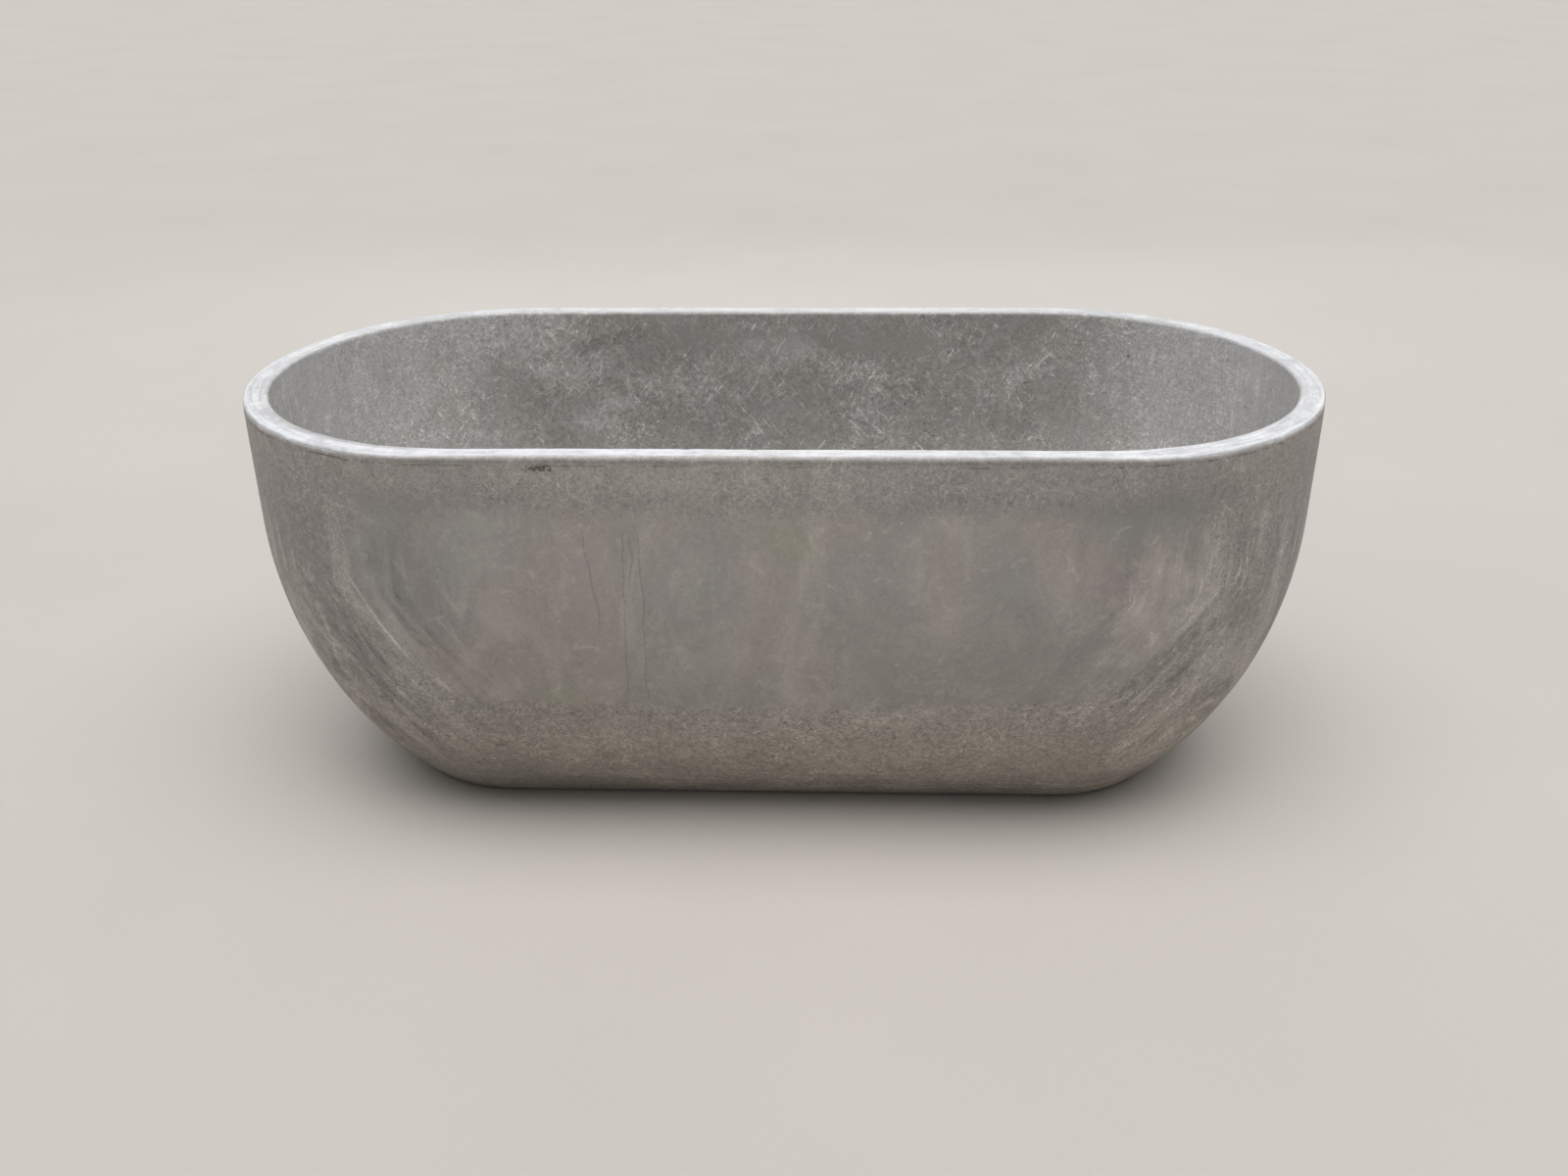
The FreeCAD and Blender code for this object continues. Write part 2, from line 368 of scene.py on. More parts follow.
@dataclass(frozen=True)
class CastConcrete(Finish):
    """The bowl's concrete: fibred and pitted outside, cloudy inside, pale and sealed on the rim.

    A pair of sizes for a line round the rim is how far down from the rim's crown its middle lies, and
    how far it reaches each way.
    """

    name: str = "cast_concrete"
    graph_kind = BowlGraph
    outer_warm: Colour = (0.346, 0.322, 0.300)
    outer_cool: Colour = (0.314, 0.298, 0.280)
    mauve: Colour = (0.366, 0.328, 0.312)
    slate: Colour = (0.318, 0.307, 0.287)
    moss: Colour = (0.334, 0.322, 0.270)
    splashed: Colour = (1.0, 0.962, 0.900)
    inner_dark: Colour = (0.386, 0.370, 0.351)
    inner_bloom: Colour = (0.575, 0.562, 0.550)
    inner_warm: Colour = (1.010, 1.0, 0.986)
    inner_cool: Colour = (0.992, 1.0, 1.013)
    end_tint: Colour = (0.975, 1.0, 1.022)
    rim_pale: Colour = (0.756, 0.765, 0.790)
    rim_grey: Colour = (0.500, 0.508, 0.532)
    rim_glint: Colour = (0.830, 0.838, 0.860)
    stain: Colour = (0.120, 0.098, 0.078)
    pit_dark: Colour = (0.060, 0.050, 0.042)
    speck_pale: Colour = (0.620, 0.600, 0.560)
    rust: Colour = (0.270, 0.120, 0.055)
    patch_half: float = 0.573
    patch_top: float = 0.552
    patch_knee: float = 0.430
    patch_bottom: float = 0.245
    patch_taper: float = 0.73
    patch_bow: float = 0.09
    chip_x: float = -0.299
    chip_z: float = 0.620
    chip_half_length: float = 0.0190
    chip_half_height: float = 0.0060
    chip_brown: Colour = (0.105, 0.080, 0.062)
    coat_side_reach: float = 0.0122
    coat_side_soft: float = 0.0056
    coat_end_reach: float = 0.0215
    coat_end_soft: float = 0.0050
    coat_inner_side: Point = (0.0095, 0.0215)
    coat_inner_round: Point = (0.0030, 0.0280)
    coat_inner_left: Point = (-0.0020, 0.0180)
    coat_inner_tip: Point = (-0.0050, 0.0400)
    coat_ends: Point = (0.38, 0.58)
    round_ends: Point = (0.38, 0.62)
    inner_ends: Point = (0.40, 0.74)
    rim_shade: Point = (0.0210, 0.0065)
    edge_stain: Point = (0.0275, 0.0022)
    edge_crumbs: Point = (0.0290, 0.0070)
    inner_highlight: Point = (0.0110, 0.0036)
    outer_highlight: Point = (0.0142, 0.0034)
    coat_seam: Point = (0.0190, 0.0016)
    inner_lip_highlight: Point = (0.0128, 0.0032)
    inner_lip_shade: Point = (0.0086, 0.0013)
    dark_oval_x: float = -0.318
    dark_oval_z: float = 0.583
    dark_oval_slope: float = 0.26
    dark_oval_half_length: float = 0.085
    dark_oval_half_height: float = 0.015
    strip_x: float = 0.010
    strip_z: float = 0.584
    strip_half_length: float = 0.225
    strip_half_height: float = 0.021
    hairline_width: float = 0.0022
    hairlines: tuple[Hairline, ...] = (
        Hairline(-0.248, 0.532, 0.372, -0.110, 3.0),
        Hairline(-0.193, 0.530, 0.262, 0.046, 11.0),
        Hairline(-0.173, 0.526, 0.250, 0.008, 23.0),
        Hairline(-0.186, 0.522, 0.440, 0.030, 31.0),
    )
    scuffs: tuple[Scuff, ...] = (
        Scuff(-0.582, 0.450, -0.506, 0.322, 0.0042, 0.60),
        Scuff(-0.512, 0.496, -0.490, 0.455, 0.0060, 0.13),
        Scuff(-0.445, 0.410, -0.428, 0.345, 0.0070, 0.20),
        Scuff(-0.455, 0.470, -0.418, 0.398, 0.0070, 0.12),
        Scuff(0.640, 0.470, 0.622, 0.420, 0.0080, 0.18),
        Scuff(0.585, 0.420, 0.562, 0.370, 0.0110, 0.20),
        Scuff(0.498, 0.450, 0.487, 0.405, 0.0070, 0.14),
        Scuff(0.608, 0.450, 0.600, 0.418, 0.0060, 0.16),
    )

    def surface(self, bowl: BowlGraph) -> Field:
        """Draws the concrete.

        Args:
            bowl: the material's nodes and measures.

        Returns:
            The shader.
        """
        patch = self.smooth_patch(bowl)
        sleek = bowl.inside * bowl.out.ease(0.715, 0.757) * 0.6
        smooth = patch.most(self.floated_strip(bowl)).most(sleek)
        rough_share = bowl.between(smooth, 1.0, 0.30)
        low_share = bowl.outside * bowl.z.ease(0.34, 0.24) * 0.45
        end_share = bowl.inside * bowl.out.ease(0.40, 0.70)
        contrast = rough_share * (1.0 + low_share + end_share * -0.30)

        mottle = bowl.at.noise(15.0, 4.0, 0.52, 0.5)
        curd = bowl.at.noise(105.0, 3.0, 0.80, 0.7)
        grain = bowl.at.noise(235.0, 2.0, 0.75)
        pale_hairs, dark_hairs, curls = self.hairs(bowl)
        pits = self.pits(bowl) * bowl.between(patch, 1.0, 0.25)

        clouds = bowl.at.noise(2.7, 4.0, 0.55)
        outer = bowl.blend(clouds.ease(0.36, 0.66), self.outer_cool, self.outer_warm)
        outer = self.tinted_patch(bowl, outer, patch)
        outer = self.worn_shoulders(bowl, outer)
        outer = self.splashed_foot(bowl, outer)
        colour = bowl.blend(bowl.inside, outer, self.inner_colour(bowl, curd, pale_hairs))
        texture = (
            mottle.swing(0.22)
            + curd.swing(0.42)
            + grain.swing(0.44) * (1.0 + end_share)
            + pale_hairs * 0.42
            + dark_hairs * -0.28
            + curls * bowl.between(bowl.inside, 0.30, 0.56)
        )
        colour = colour.lit(texture * contrast)
        colour = self.hair_runs(bowl, colour)
        colour = self.scuffed(bowl, colour)
        specks = bowl.at.spots(70.0, 0.13, 0.09) * rough_share
        rusty = bowl.at.moved((3.1, 1.7, 0.4)).spots(26.0, 0.045, 0.06)
        colour = bowl.blend(specks * 0.6, colour, self.speck_pale)
        colour = bowl.blend(rusty * 0.75, colour, self.rust)
        colour = bowl.blend(pits * 0.92, colour, self.pit_dark)

        chip = self.chip(bowl)
        bits = bowl.x.ease(self.chip_x + 0.008, self.chip_x - 0.004, 0.12, 0.62)
        chipped = bowl.blend(bowl.at.spots(330.0, 0.42, bits), self.chip_brown, self.speck_pale)
        colour = bowl.blend(chip, colour, chipped)
        shade = bowl.down.band(*self.rim_shade) * bowl.outside * bowl.out.ease(0.58, 0.38)
        edge_line = self.edge_line(bowl)
        colour = bowl.blend(edge_line, colour.lit(shade * -0.28), self.stain)

        rim = self.rim_share(bowl)
        # painted shade: the rim is darker along the back, more so on its inner side
        back_rim_shade = bowl.inside.ease(0.3, 0.8, 0.91, 0.80)
        rim_colour = self.rim_colour(bowl).scaled(bowl.y.ease(0.20, 0.34, 1.0, back_rim_shade))
        colour = bowl.blend(rim, colour, rim_colour)
        roughness = 0.60 + mottle.swing(0.22) + patch * -0.10
        roughness = bowl.between(rim, roughness, mottle.ease(0.3, 0.7, 0.28, 0.46))
        skin = (mottle.swing(0.20) + curd.swing(0.16) + grain.swing(0.04)) * rough_share
        relief = skin + pits * -0.50 + chip * -1.10 + edge_line * -0.15
        height = relief * bowl.between(rim, 1.0, 0.35)
        return self.principled(bowl, height, Base_Color=colour, Roughness=roughness, Specular_IOR_Level=0.5)

    def below_knee(self, bowl: BowlGraph) -> Field:
        """How far a point is below the level where the panel starts to narrow."""
        return (self.patch_knee - bowl.z).most(0.0)

    def smooth_patch(self, bowl: BowlGraph) -> Field:
        """Where the front was floated smooth: a wide panel with soft edges.

        Args:
            bowl: the material's nodes and measures.

        Returns:
            One in the panel, zero outside it.
        """
        wobble = bowl.at.noise(13.0, 3.0).swing(0.070)
        off = bowl.out + self.below_knee(bowl) * self.patch_taper + wobble
        sides = off.ease(self.patch_half + 0.025, self.patch_half - 0.035)
        level = bowl.z + bowl.x * bowl.x * -self.patch_bow + wobble * 0.05
        upper = level.ease(self.patch_top + 0.022, self.patch_top - 0.018)
        lower = level.ease(self.patch_bottom - 0.006, self.patch_bottom + 0.008)
        return bowl.front * sides * upper * lower

    def floated_strip(self, bowl: BowlGraph) -> Field:
        """A short strip high on the back wall's inside that a float left smooth.

        Args:
            bowl: the material's nodes and measures.

        Returns:
            One in the strip, zero outside it.
        """
        along = abs((bowl.x - self.strip_x) / self.strip_half_length)
        up = abs((bowl.z - self.strip_z) / self.strip_half_height)
        off = along.most(up) + bowl.at.noise(9.0, 3.0).swing(0.9)
        at_back = bowl.y.ease(0.28, 0.32) * bowl.y.ease(0.362, 0.352)
        return off.ease(1.25, 0.75) * at_back

    def tinted_patch(self, bowl: BowlGraph, colour: Field, patch: Field) -> Field:
        """Mauve and greenish stains, wisps and dots through the smooth panel.

        Args:
            bowl: the material's nodes and measures.
            colour: the colour so far.
            patch: how far a point is in the panel.

        Returns:
            The tinted colour.
        """
        hue = bowl.at.stretched((1.0, 1.0, 0.55)).noise(9.0, 1.0, 0.4)
        mossy = bowl.at.moved((8.0, 3.0, 5.0)).noise(6.0, 1.0, 0.4)
        wisps = bowl.at.stretched((1.0, 1.0, 0.6)).noise(7.5, 5.0, 0.68, 1.4)
        dabs = bowl.at.moved((2.0, 9.0, 4.0)).noise(46.0, 3.0, 0.6, 0.8)
        dots = bowl.at.moved((6.0, 2.0, 8.0)).spots(24.0, 0.085, 0.16)
        stained = bowl.blend(hue.ease(0.40, 0.60), self.slate, self.mauve)
        stained = bowl.blend(mossy.ease(0.60, 0.72), stained, self.moss)
        dabbed = dabs.ease(0.55, 0.76, 0.0, 0.32) + dabs.ease(0.42, 0.24, 0.0, -0.18)
        stained = stained.scaled(wisps.ease(0.40, 0.70, 0.90, 1.20) + dabbed)
        stained = bowl.blend(dots * 0.44, stained, self.speck_pale)
        return bowl.blend(patch * 0.72, colour, stained)

    def worn_shoulders(self, bowl: BowlGraph, colour: Field) -> Field:
        """Streaks down the shoulders that follow the panel's slanting sides, broad soft tones, and patches of
        painted light and shade.

        Args:
            bowl: the material's nodes and measures.
            colour: the colour so far.

        Returns:
            The worn colour.
        """
        slant = self.below_knee(bowl) * bowl.math("SIGN", bowl.x) * bowl.out.ease(0.74, 0.60)
        swept = bowl.rail.moved(bowl.join(slant * self.patch_taper))
        along_fall = swept.scaled(68.0).moved(bowl.join(0.0, 0.0, bowl.down * 11.0))
        streaks = along_fall.noise(1.0, 5.0, 0.76, 0.2)
        sweeps = along_fall.scaled(0.21).noise(1.0, 3.0, 0.6, 0.5)
        level = bowl.z.ease(0.07, 0.18) * bowl.z.ease(0.58, 0.46)
        low_wear = bowl.x.ease(-0.2, 0.2, 1.45, 1.10)
        marked_zone = bowl.out.ease(0.34, 0.56) * level * bowl.z.ease(0.50, 0.32, 1.0, low_wear)
        drift = bowl.at.noise(5.0, 2.0).ease(0.34, 0.58, 0.30, 1.0)
        pale = streaks.ease(0.53, 0.68) * marked_zone * drift * 0.52
        dark = streaks.ease(0.48, 0.30) * marked_zone * -0.20
        broad = sweeps.ease(0.36, 0.64).swing(0.19) * marked_zone
        middle = bowl.out.ease(0.10, 0.55, 0.06, -0.03)
        # painted shade at the lower left
        lower_left_shade = bowl.x.ease(-0.12, -0.35) * bowl.z.ease(0.28, 0.20) * -0.09
        # painted light on the left shoulder
        left_shoulder_light = bowl.x.ease(-0.50, -0.60) * bowl.z.band(0.41, 0.16) * 0.07
        # painted shade high on the shoulders at both ends
        dull = bowl.out.ease(0.40, 0.58) * bowl.z.band(0.545, 0.085) * -0.07
        dull = dull + bowl.x.ease(0.25, 0.42) * bowl.z.band(0.575, 0.070) * -0.06
        return colour.lit(pale + dark + broad + middle + lower_left_shade + left_shoulder_light + dull)

    def splashed_foot(self, bowl: BowlGraph, colour: Field) -> Field:
        """The browner foot with its strokes and painted shade towards the bottom, and the dull strip above
        the panel.

        Args:
            bowl: the material's nodes and measures.
            colour: the colour so far.

        Returns:
            The splashed colour.
        """
        colour = bowl.blend(bowl.z.ease(0.30, 0.12), colour, self.splashed, "MULTIPLY")
        strokes = bowl.falling(5.0, 85.0).noise(1.0, 3.0, 0.6, 0.4)
        stroke_light = strokes.ease(0.40, 0.66).swing(0.10) * bowl.z.ease(0.15, 0.05)
        strip = bowl.z.band(self.patch_top + 0.018, 0.030) * bowl.out.ease(0.66, 0.45) * -0.09
        # painted shade: darker towards the foot, deeper in blotches
        foot_shade = bowl.z.ease(0.17, 0.02, 0.0, -0.16)
        shade_blotches = bowl.at.noise(9.0, 3.0).ease(0.42, 0.66) * foot_shade * 0.45
        return colour.lit(stroke_light + strip + foot_shade + shade_blotches)

    def inner_colour(self, bowl: BowlGraph, curd: Field, hairs: Field) -> Field:
        """Cool grey with pale blooms whose edges break up into hairs; the ends are paler, partly bloom and
        partly painted light.

        Args:
            bowl: the material's nodes and measures.
            curd: the fine mottling.
            hairs: the pale hairs.

        Returns:
            The inside's colour.
        """
        cloud = bowl.at.noise(5.2, 5.0, 0.62, 0.6)
        wisps = bowl.at.moved((5.0, 2.0, 1.0)).noise(21.0, 4.0, 0.66, 1.1)
        hue = bowl.at.moved((7.0, 4.0, 2.0)).noise(12.0, 3.0, 0.6)
        runs = bowl.falling(70.0, 7.0).noise(1.0, 3.0, 0.6, 0.3)
        strokes = self.strokes(bowl)
        ragged = curd.swing(0.16) + hairs * 0.10 + strokes * 0.16
        near_end = bowl.out.ease(*self.inner_ends)
        near_floor = bowl.z.ease(0.24, 0.07)
        on_wall = bowl.down.ease(0.0130, 0.0200)

        bloom = (cloud + ragged).ease(0.47, 0.72) + (wisps + ragged).ease(0.57, 0.78, 0.0, 0.60)
        # towards the ends the blooms are paler and more even: partly bloom, partly painted light
        bloom = bowl.between(near_end, bloom * 0.92, bloom * 0.20 + 0.42)
        bloom = bloom * bowl.between(near_floor, 1.0, 0.62)
        colour = bowl.blend(bloom, self.inner_dark, self.inner_bloom)
        colour = bowl.blend(near_end, colour, self.end_tint, "MULTIPLY")
        tinge = bowl.blend(hue.ease(0.38, 0.62), self.inner_warm, self.inner_cool)
        colour = bowl.blend(1.0, colour, tinge, "MULTIPLY")
        light = (
            0.90
            + on_wall * 0.10
            # painted light: the end walls are lifted, the right one more than the left
            + near_end * bowl.x.ease(-0.1, 0.1, 0.45, 0.55) * on_wall
            + bowl.x.ease(0.10, 0.30, -0.05, 0.0) * bowl.down.ease(0.030, 0.060)
            + runs.ease(0.58, 0.70, 0.0, 0.16) * bowl.out.ease(0.60, 0.70)
            + near_floor * -0.05
            + strokes * 0.20
            + runs.swing(0.20) * bowl.out.ease(0.66, 0.76)
            - self.dark_oval(bowl)
        )
        return colour.scaled(light)

    def strokes(self, bowl: BowlGraph) -> Field:
        """Fine slanting strokes that a brush left on the inside, both ways, in scattered patches.

        Args:
            bowl: the material's nodes and measures.

        Returns:
            One on a stroke, zero beside it.
        """
        curved = bowl.swirled(16.0, 0.030)
        ways = []
        for turn, shift in ((0.75, 1.0), (-0.60, 5.0)):
            axis = {"Vector": curved.moved((shift, shift, shift)), "Angle": turn}
            turned = bowl.field("ShaderNodeVectorRotate", axis, rotation_type="Y_AXIS")
            drawn = turned.stretched((240.0, 60.0, 30.0)).noise(1.0, 2.0, 0.55)
            patchy = bowl.at.moved((shift, 0.0, 0.0)).noise(12.0, 2.0)
            ways.append(drawn.ease(0.57, 0.72) * patchy.ease(0.44, 0.60))
        return ways[0].most(ways[1])

    def dark_oval(self, bowl: BowlGraph) -> Field:
        """A soft dark oval high on the back wall's inside, rising to the right.

        Args:
            bowl: the material's nodes and measures.

        Returns:
            How much light it takes away.
        """
        along = bowl.x - self.dark_oval_x
        rise = bowl.z + along * -self.dark_oval_slope
        off = bowl.oval(along / self.dark_oval_half_length, (rise - self.dark_oval_z) / self.dark_oval_half_height)
        ragged = off + bowl.at.noise(26.0, 3.0, 0.6).swing(0.7)
        return ragged.ease(1.25, 0.45) * bowl.y.ease(0.28, 0.32) * 0.17

    def hairs(self, bowl: BowlGraph) -> tuple[Field, Field, Field]:
        """Hairs and long curls of glass fibre that show through the skin in drifts.

        Args:
            bowl: the material's nodes and measures.

        Returns:
            The short pale hairs, the short dark ones and the long pale curls, one on a hair and zero off it.
        """
        turned = bowl.swirled(44.0, 0.034)
        drifts = bowl.at.noise(8.0, 3.0, 0.6).ease(0.36, 0.62, 0.35, 1.0)
        kinds = []
        for scale, shift, reach in ((130.0, 0.0, 0.055), (165.0, 4.0, 0.055), (36.0, 9.0, 0.040)):
            moved = turned.moved((shift, shift, shift))
            ridge = moved.noise(scale, 1.5, 0.45).band(0.5, reach)
            broken = moved.noise(scale * 0.45, 2.0).ease(0.46, 0.58)
            kinds.append(ridge * broken * drifts)
        return kinds[0], kinds[1], kinds[2] * bowl.at.noise(70.0, 2.0).ease(0.44, 0.56)

    def pits(self, bowl: BowlGraph) -> Field:
        """Small black air holes, thickest near the foot.

        Args:
            bowl: the material's nodes and measures.

        Returns:
            One in a hole, zero outside it.
        """
        fine = bowl.at.spots(58.0, 0.115, bowl.z.ease(0.30, 0.06, 0.025, 0.10))
        coarse = bowl.at.moved((1.3, 7.1, 2.9)).spots(17.0, 0.050, 0.06)
        return fine.most(coarse)

    def hair_runs(self, bowl: BowlGraph, colour: Field) -> Field:
        """The thin runs of water that dried on the front.

        Args:
            bowl: the material's nodes and measures.
            colour: the colour so far.

        Returns:
            The colour with the runs in it.
        """
        dark = 0.0
        for line in self.hairlines:
            wander = bowl.join(line.seed, 0.0, bowl.z).noise(15.0, 2.0)
            middle = line.x + (line.top - bowl.z) * -line.drift + wander.swing(0.010)
            width = self.hairline_width + wander.swing(0.0009)
            begun = bowl.z.ease(line.top + 0.006, line.top - 0.004)
            left = bowl.z.ease(line.bottom - 0.006, line.bottom + 0.030)
            dark = dark + bowl.x.band(middle, width) * (begun * left)
        return colour.lit(dark * bowl.front * -0.20)

    def scuffed(self, bowl: BowlGraph, colour: Field) -> Field:
        """The pale trowel strokes on the shoulders.

        Args:
            bowl: the material's nodes and measures.
            colour: the colour so far.

        Returns:
            The colour with the strokes in it.
        """
        wander = bowl.at.noise(24.0, 3.0, 0.6).swing(0.006)
        broken = bowl.at.noise(90.0, 3.0, 0.7).ease(0.32, 0.60, 0.55, 1.0)
        light = 0.0
        for scuff in self.scuffs:
            run, rise = scuff.end_x - scuff.start_x, scuff.end_z - scuff.start_z
            length = math.hypot(run, rise)
            right, up = bowl.x - scuff.start_x, bowl.z - scuff.start_z
            along = right * (run / length) + up * (rise / length)
            side = right * (rise / length) + up * (-run / length) + wander
            ends = along.band(length / 2, length * 0.62, length * 0.30)
            light = light + side.band(0.0, scuff.width) * ends * scuff.strength
        return colour.lit(light * broken * (bowl.outside * bowl.y.ease(-0.05, -0.12)))

    def chip_reach(self, graph: Graph, x: Field, z: Field) -> Field:
        """How far a point is from the middle of the broken spot under the rim, in shares of its radii."""
        across = (x - self.chip_x) / self.chip_half_length
        return graph.oval(across, (z - self.chip_z) / self.chip_half_height)

    def chip(self, bowl: BowlGraph) -> Field:
        """The broken spot under the rim, ragged at its edge.

        Args:
            bowl: the material's nodes and measures.

        Returns:
            Nearly one in the spot, zero outside it.
        """
        off = self.chip_reach(bowl, bowl.x, bowl.z)
        ragged = off + bowl.at.noise(200.0, 3.0, 0.6).swing(3.0)
        return ragged.ease(0.72, 0.36) * off.ease(1.9, 1.1) * bowl.front * 0.9

    def rim_share(self, bowl: BowlGraph) -> Field:
        """How far a point is under the rim's pale coat, which thins early along the straight front; its soft
        fade down the outer edge is partly painted shade for the turn of a rounder edge.

        Args:
            bowl: the material's nodes and measures.

        Returns:
            One on the rim, zero off it.
        """
        off = bowl.down + bowl.at.noise(60.0, 4.0, 0.66).swing(0.0045)
        near_end = bowl.out.ease(*self.coat_ends)
        full = near_end.most(bowl.y.ease(0.0, 0.2))
        reach = bowl.between(full, self.coat_side_reach, self.coat_end_reach)
        soft = bowl.between(full, self.coat_side_soft, self.coat_end_soft)
        outer = off.ease(reach + soft, reach - soft)
        whole, bare = self.coat_inner_side
        for share, (start, end) in (
            (near_end, self.coat_inner_round),
            (bowl.x.ease(-0.45, -0.60) * bowl.y.ease(0.12, 0.02), self.coat_inner_left),
            (bowl.x.ease(-0.69, -0.76) * bowl.y.ease(0.18, 0.08), self.coat_inner_tip),
        ):
            whole = bowl.between(share, whole, start)
            bare = bowl.between(share, bare, end)
        return bowl.between(bowl.inside.ease(0.45, 0.55), outer, off.ease(bare, whole))

    def edge_line(self, bowl: BowlGraph) -> Field:
        """The thin brown line that comes and goes under the rim's outer edge, most round the ends.

        Args:
            bowl: the material's nodes and measures.

        Returns:
            The line's strength.
        """
        line = (bowl.down + bowl.at.noise(16.0, 3.0, 0.6).swing(0.005)).band(*self.edge_stain)
        near_end = bowl.out.ease(*self.round_ends)
        ragged = bowl.at.noise(26.0, 4.0, 0.7) + near_end * 0.07
        broken = ragged.ease(0.46, 0.64) * bowl.between(near_end, 0.62, 0.85)
        crumbs = bowl.down.band(*self.edge_crumbs) * bowl.at.spots(130.0, 0.26, 0.15) * 0.9
        return (line * broken).most(crumbs) * bowl.outside

    def rim_colour(self, bowl: BowlGraph) -> Field:
        """Pale sealed grey with smears that run round the rim, with painted highlights along its two edges
        and, at the back left, a thin painted shade line beside the inner one.

        Args:
            bowl: the material's nodes and measures.

        Returns:
            The rim's colour.
        """
        near_end = bowl.out.ease(*self.round_ends)
        smears = bowl.falling(16.0, 190.0).noise(1.0, 4.0, 0.66, 0.8)
        mottle = bowl.at.noise(75.0, 4.0, 0.7, 0.6)
        tone = bowl.rail.scaled(12.0).noise(1.0, 3.0, 0.6).swing(0.22)
        edge_breakup = bowl.rail.scaled(11.0).noise(1.0, 4.0, 0.65)
        share = smears.ease(0.34, 0.64, 0.22, 1.12) + mottle.swing(1.25) + near_end * -0.32
        colour = bowl.blend(share.clamped(), self.rim_grey, self.rim_pale).lit(tone)

        # painted highlights along the rim's inner and outer edges, broken up by noise
        inner_highlight = bowl.down.band(*self.inner_highlight) * bowl.inside * bowl.between(near_end, 1.0, 0.35)
        outer_highlight = bowl.down.band(*self.outer_highlight) * bowl.outside
        edge_highlights = inner_highlight.most(outer_highlight) * edge_breakup.ease(0.34, 0.58) * 0.85
        seam = bowl.down.band(*self.coat_seam) * bowl.outside * edge_breakup.ease(0.60, 0.42) * near_end * 0.45
        # at the back left: a painted highlight on the inner edge's round, with a thin painted shade line
        # beside it
        back_left = bowl.x.ease(-0.36, -0.52) * bowl.y.ease(0.02, 0.12) * bowl.inside
        lip_highlight = bowl.down.band(*self.inner_lip_highlight) * back_left * 0.85
        lip_shade = bowl.down.band(*self.inner_lip_shade) * back_left * edge_breakup.ease(0.42, 0.56) * 0.42
        for mark, tint in (
            (edge_highlights, self.rim_glint),
            (seam, self.stain),
            (lip_highlight, self.rim_glint),
            (lip_shade, self.stain),
        ):
            colour = bowl.blend(mark, colour, tint)
        # darker on the inner part of the rim's flat at the front left
        front_left = bowl.x.ease(-0.42, -0.50) * bowl.y.ease(-0.16, -0.30)
        marked_zone = front_left * bowl.inside.ease(0.45, 0.60) * bowl.down.ease(0.0020, 0.0105)
        pinholes = bowl.at.spots(95.0, 0.13, 0.09)
        return bowl.blend(pinholes * 0.7, colour.lit(marked_zone * -0.30), self.stain)


@dataclass(frozen=True)
class Mortar(Finish):
    """The spacer blocks: sandy cement, a shade lighter than the bowl."""

    name: str = "spacer_mortar"
    light: Colour = (0.360, 0.345, 0.315)
    dark: Colour = (0.245, 0.232, 0.210)

    def surface(self, graph: Graph) -> Field:
        """Draws the mortar.

        Args:
            graph: the material's nodes.

        Returns:
            The shader.
        """
        place = graph.place()
        sand = place.noise(520.0, 3.0, 0.7)
        clouds = place.noise(60.0, 3.0, 0.6)
        holes = place.spots(260.0, 0.20, 0.16)
        colour = graph.blend((sand + clouds).ease(0.75, 1.25), self.dark, self.light)
        colour = colour.scaled(holes.ease(0.0, 1.0, 1.0, 0.45))
        height = sand.swing(0.12) + holes * -0.4
        return self.principled(graph, height, Base_Color=colour, Roughness=0.86)


@dataclass(frozen=True)
class BarSteel(Finish):
    """The bars in the wall: dark mill scale with rust coming through."""

    name: str = "bar_steel"
    scale_grey: Colour = (0.125, 0.120, 0.118)
    rust_dark: Colour = (0.150, 0.062, 0.028)
    rust_light: Colour = (0.330, 0.150, 0.060)

    def surface(self, graph: Graph) -> Field:
        """Draws the steel.

        Args:
            graph: the material's nodes.

        Returns:
            The shader.
        """
        place = graph.place()
        grain = place.noise(640.0, 2.0, 0.6)
        rusty = place.noise(38.0, 5.0, 0.65).ease(0.44, 0.60)
        rust = graph.blend(grain, self.rust_dark, self.rust_light)
        colour = graph.blend(rusty, self.scale_grey, rust)
        roughness = graph.between(rusty, 0.46, 0.88)
        metallic = graph.between(rusty, 0.75, 0.05)
        height = grain.swing(0.06) * graph.between(rusty, 0.3, 1.0)
        return self.principled(graph, height, Base_Color=colour, Roughness=roughness, Metallic=metallic)


@dataclass(frozen=True)
class Moulded(Finish):
    """A moulded skin with a fine grain, under cement haze or concrete dust.

    A noise is given by its scale, detail, roughness and distortion, and how dusty the piece is by the
    step that the dust's noise goes through.
    """

    name: str
    bare: Colour
    dust: Colour
    grain: tuple[float, ...]
    relief: float
    dust_noise: tuple[float, ...]
    dust_step: tuple[float, ...]
    roughness: Point

    def surface(self, graph: Graph) -> Field:
        """Draws the skin.

        Args:
            graph: the material's nodes.

        Returns:
            The shader.
        """
        place = graph.place()
        grain = place.noise(*self.grain).swing(self.relief)
        dusty = place.noise(*self.dust_noise).ease(*self.dust_step)
        colour = graph.blend(dusty, self.bare, self.dust)
        roughness = graph.between(dusty, *self.roughness)
        return self.principled(graph, grain, Base_Color=colour, Roughness=roughness)


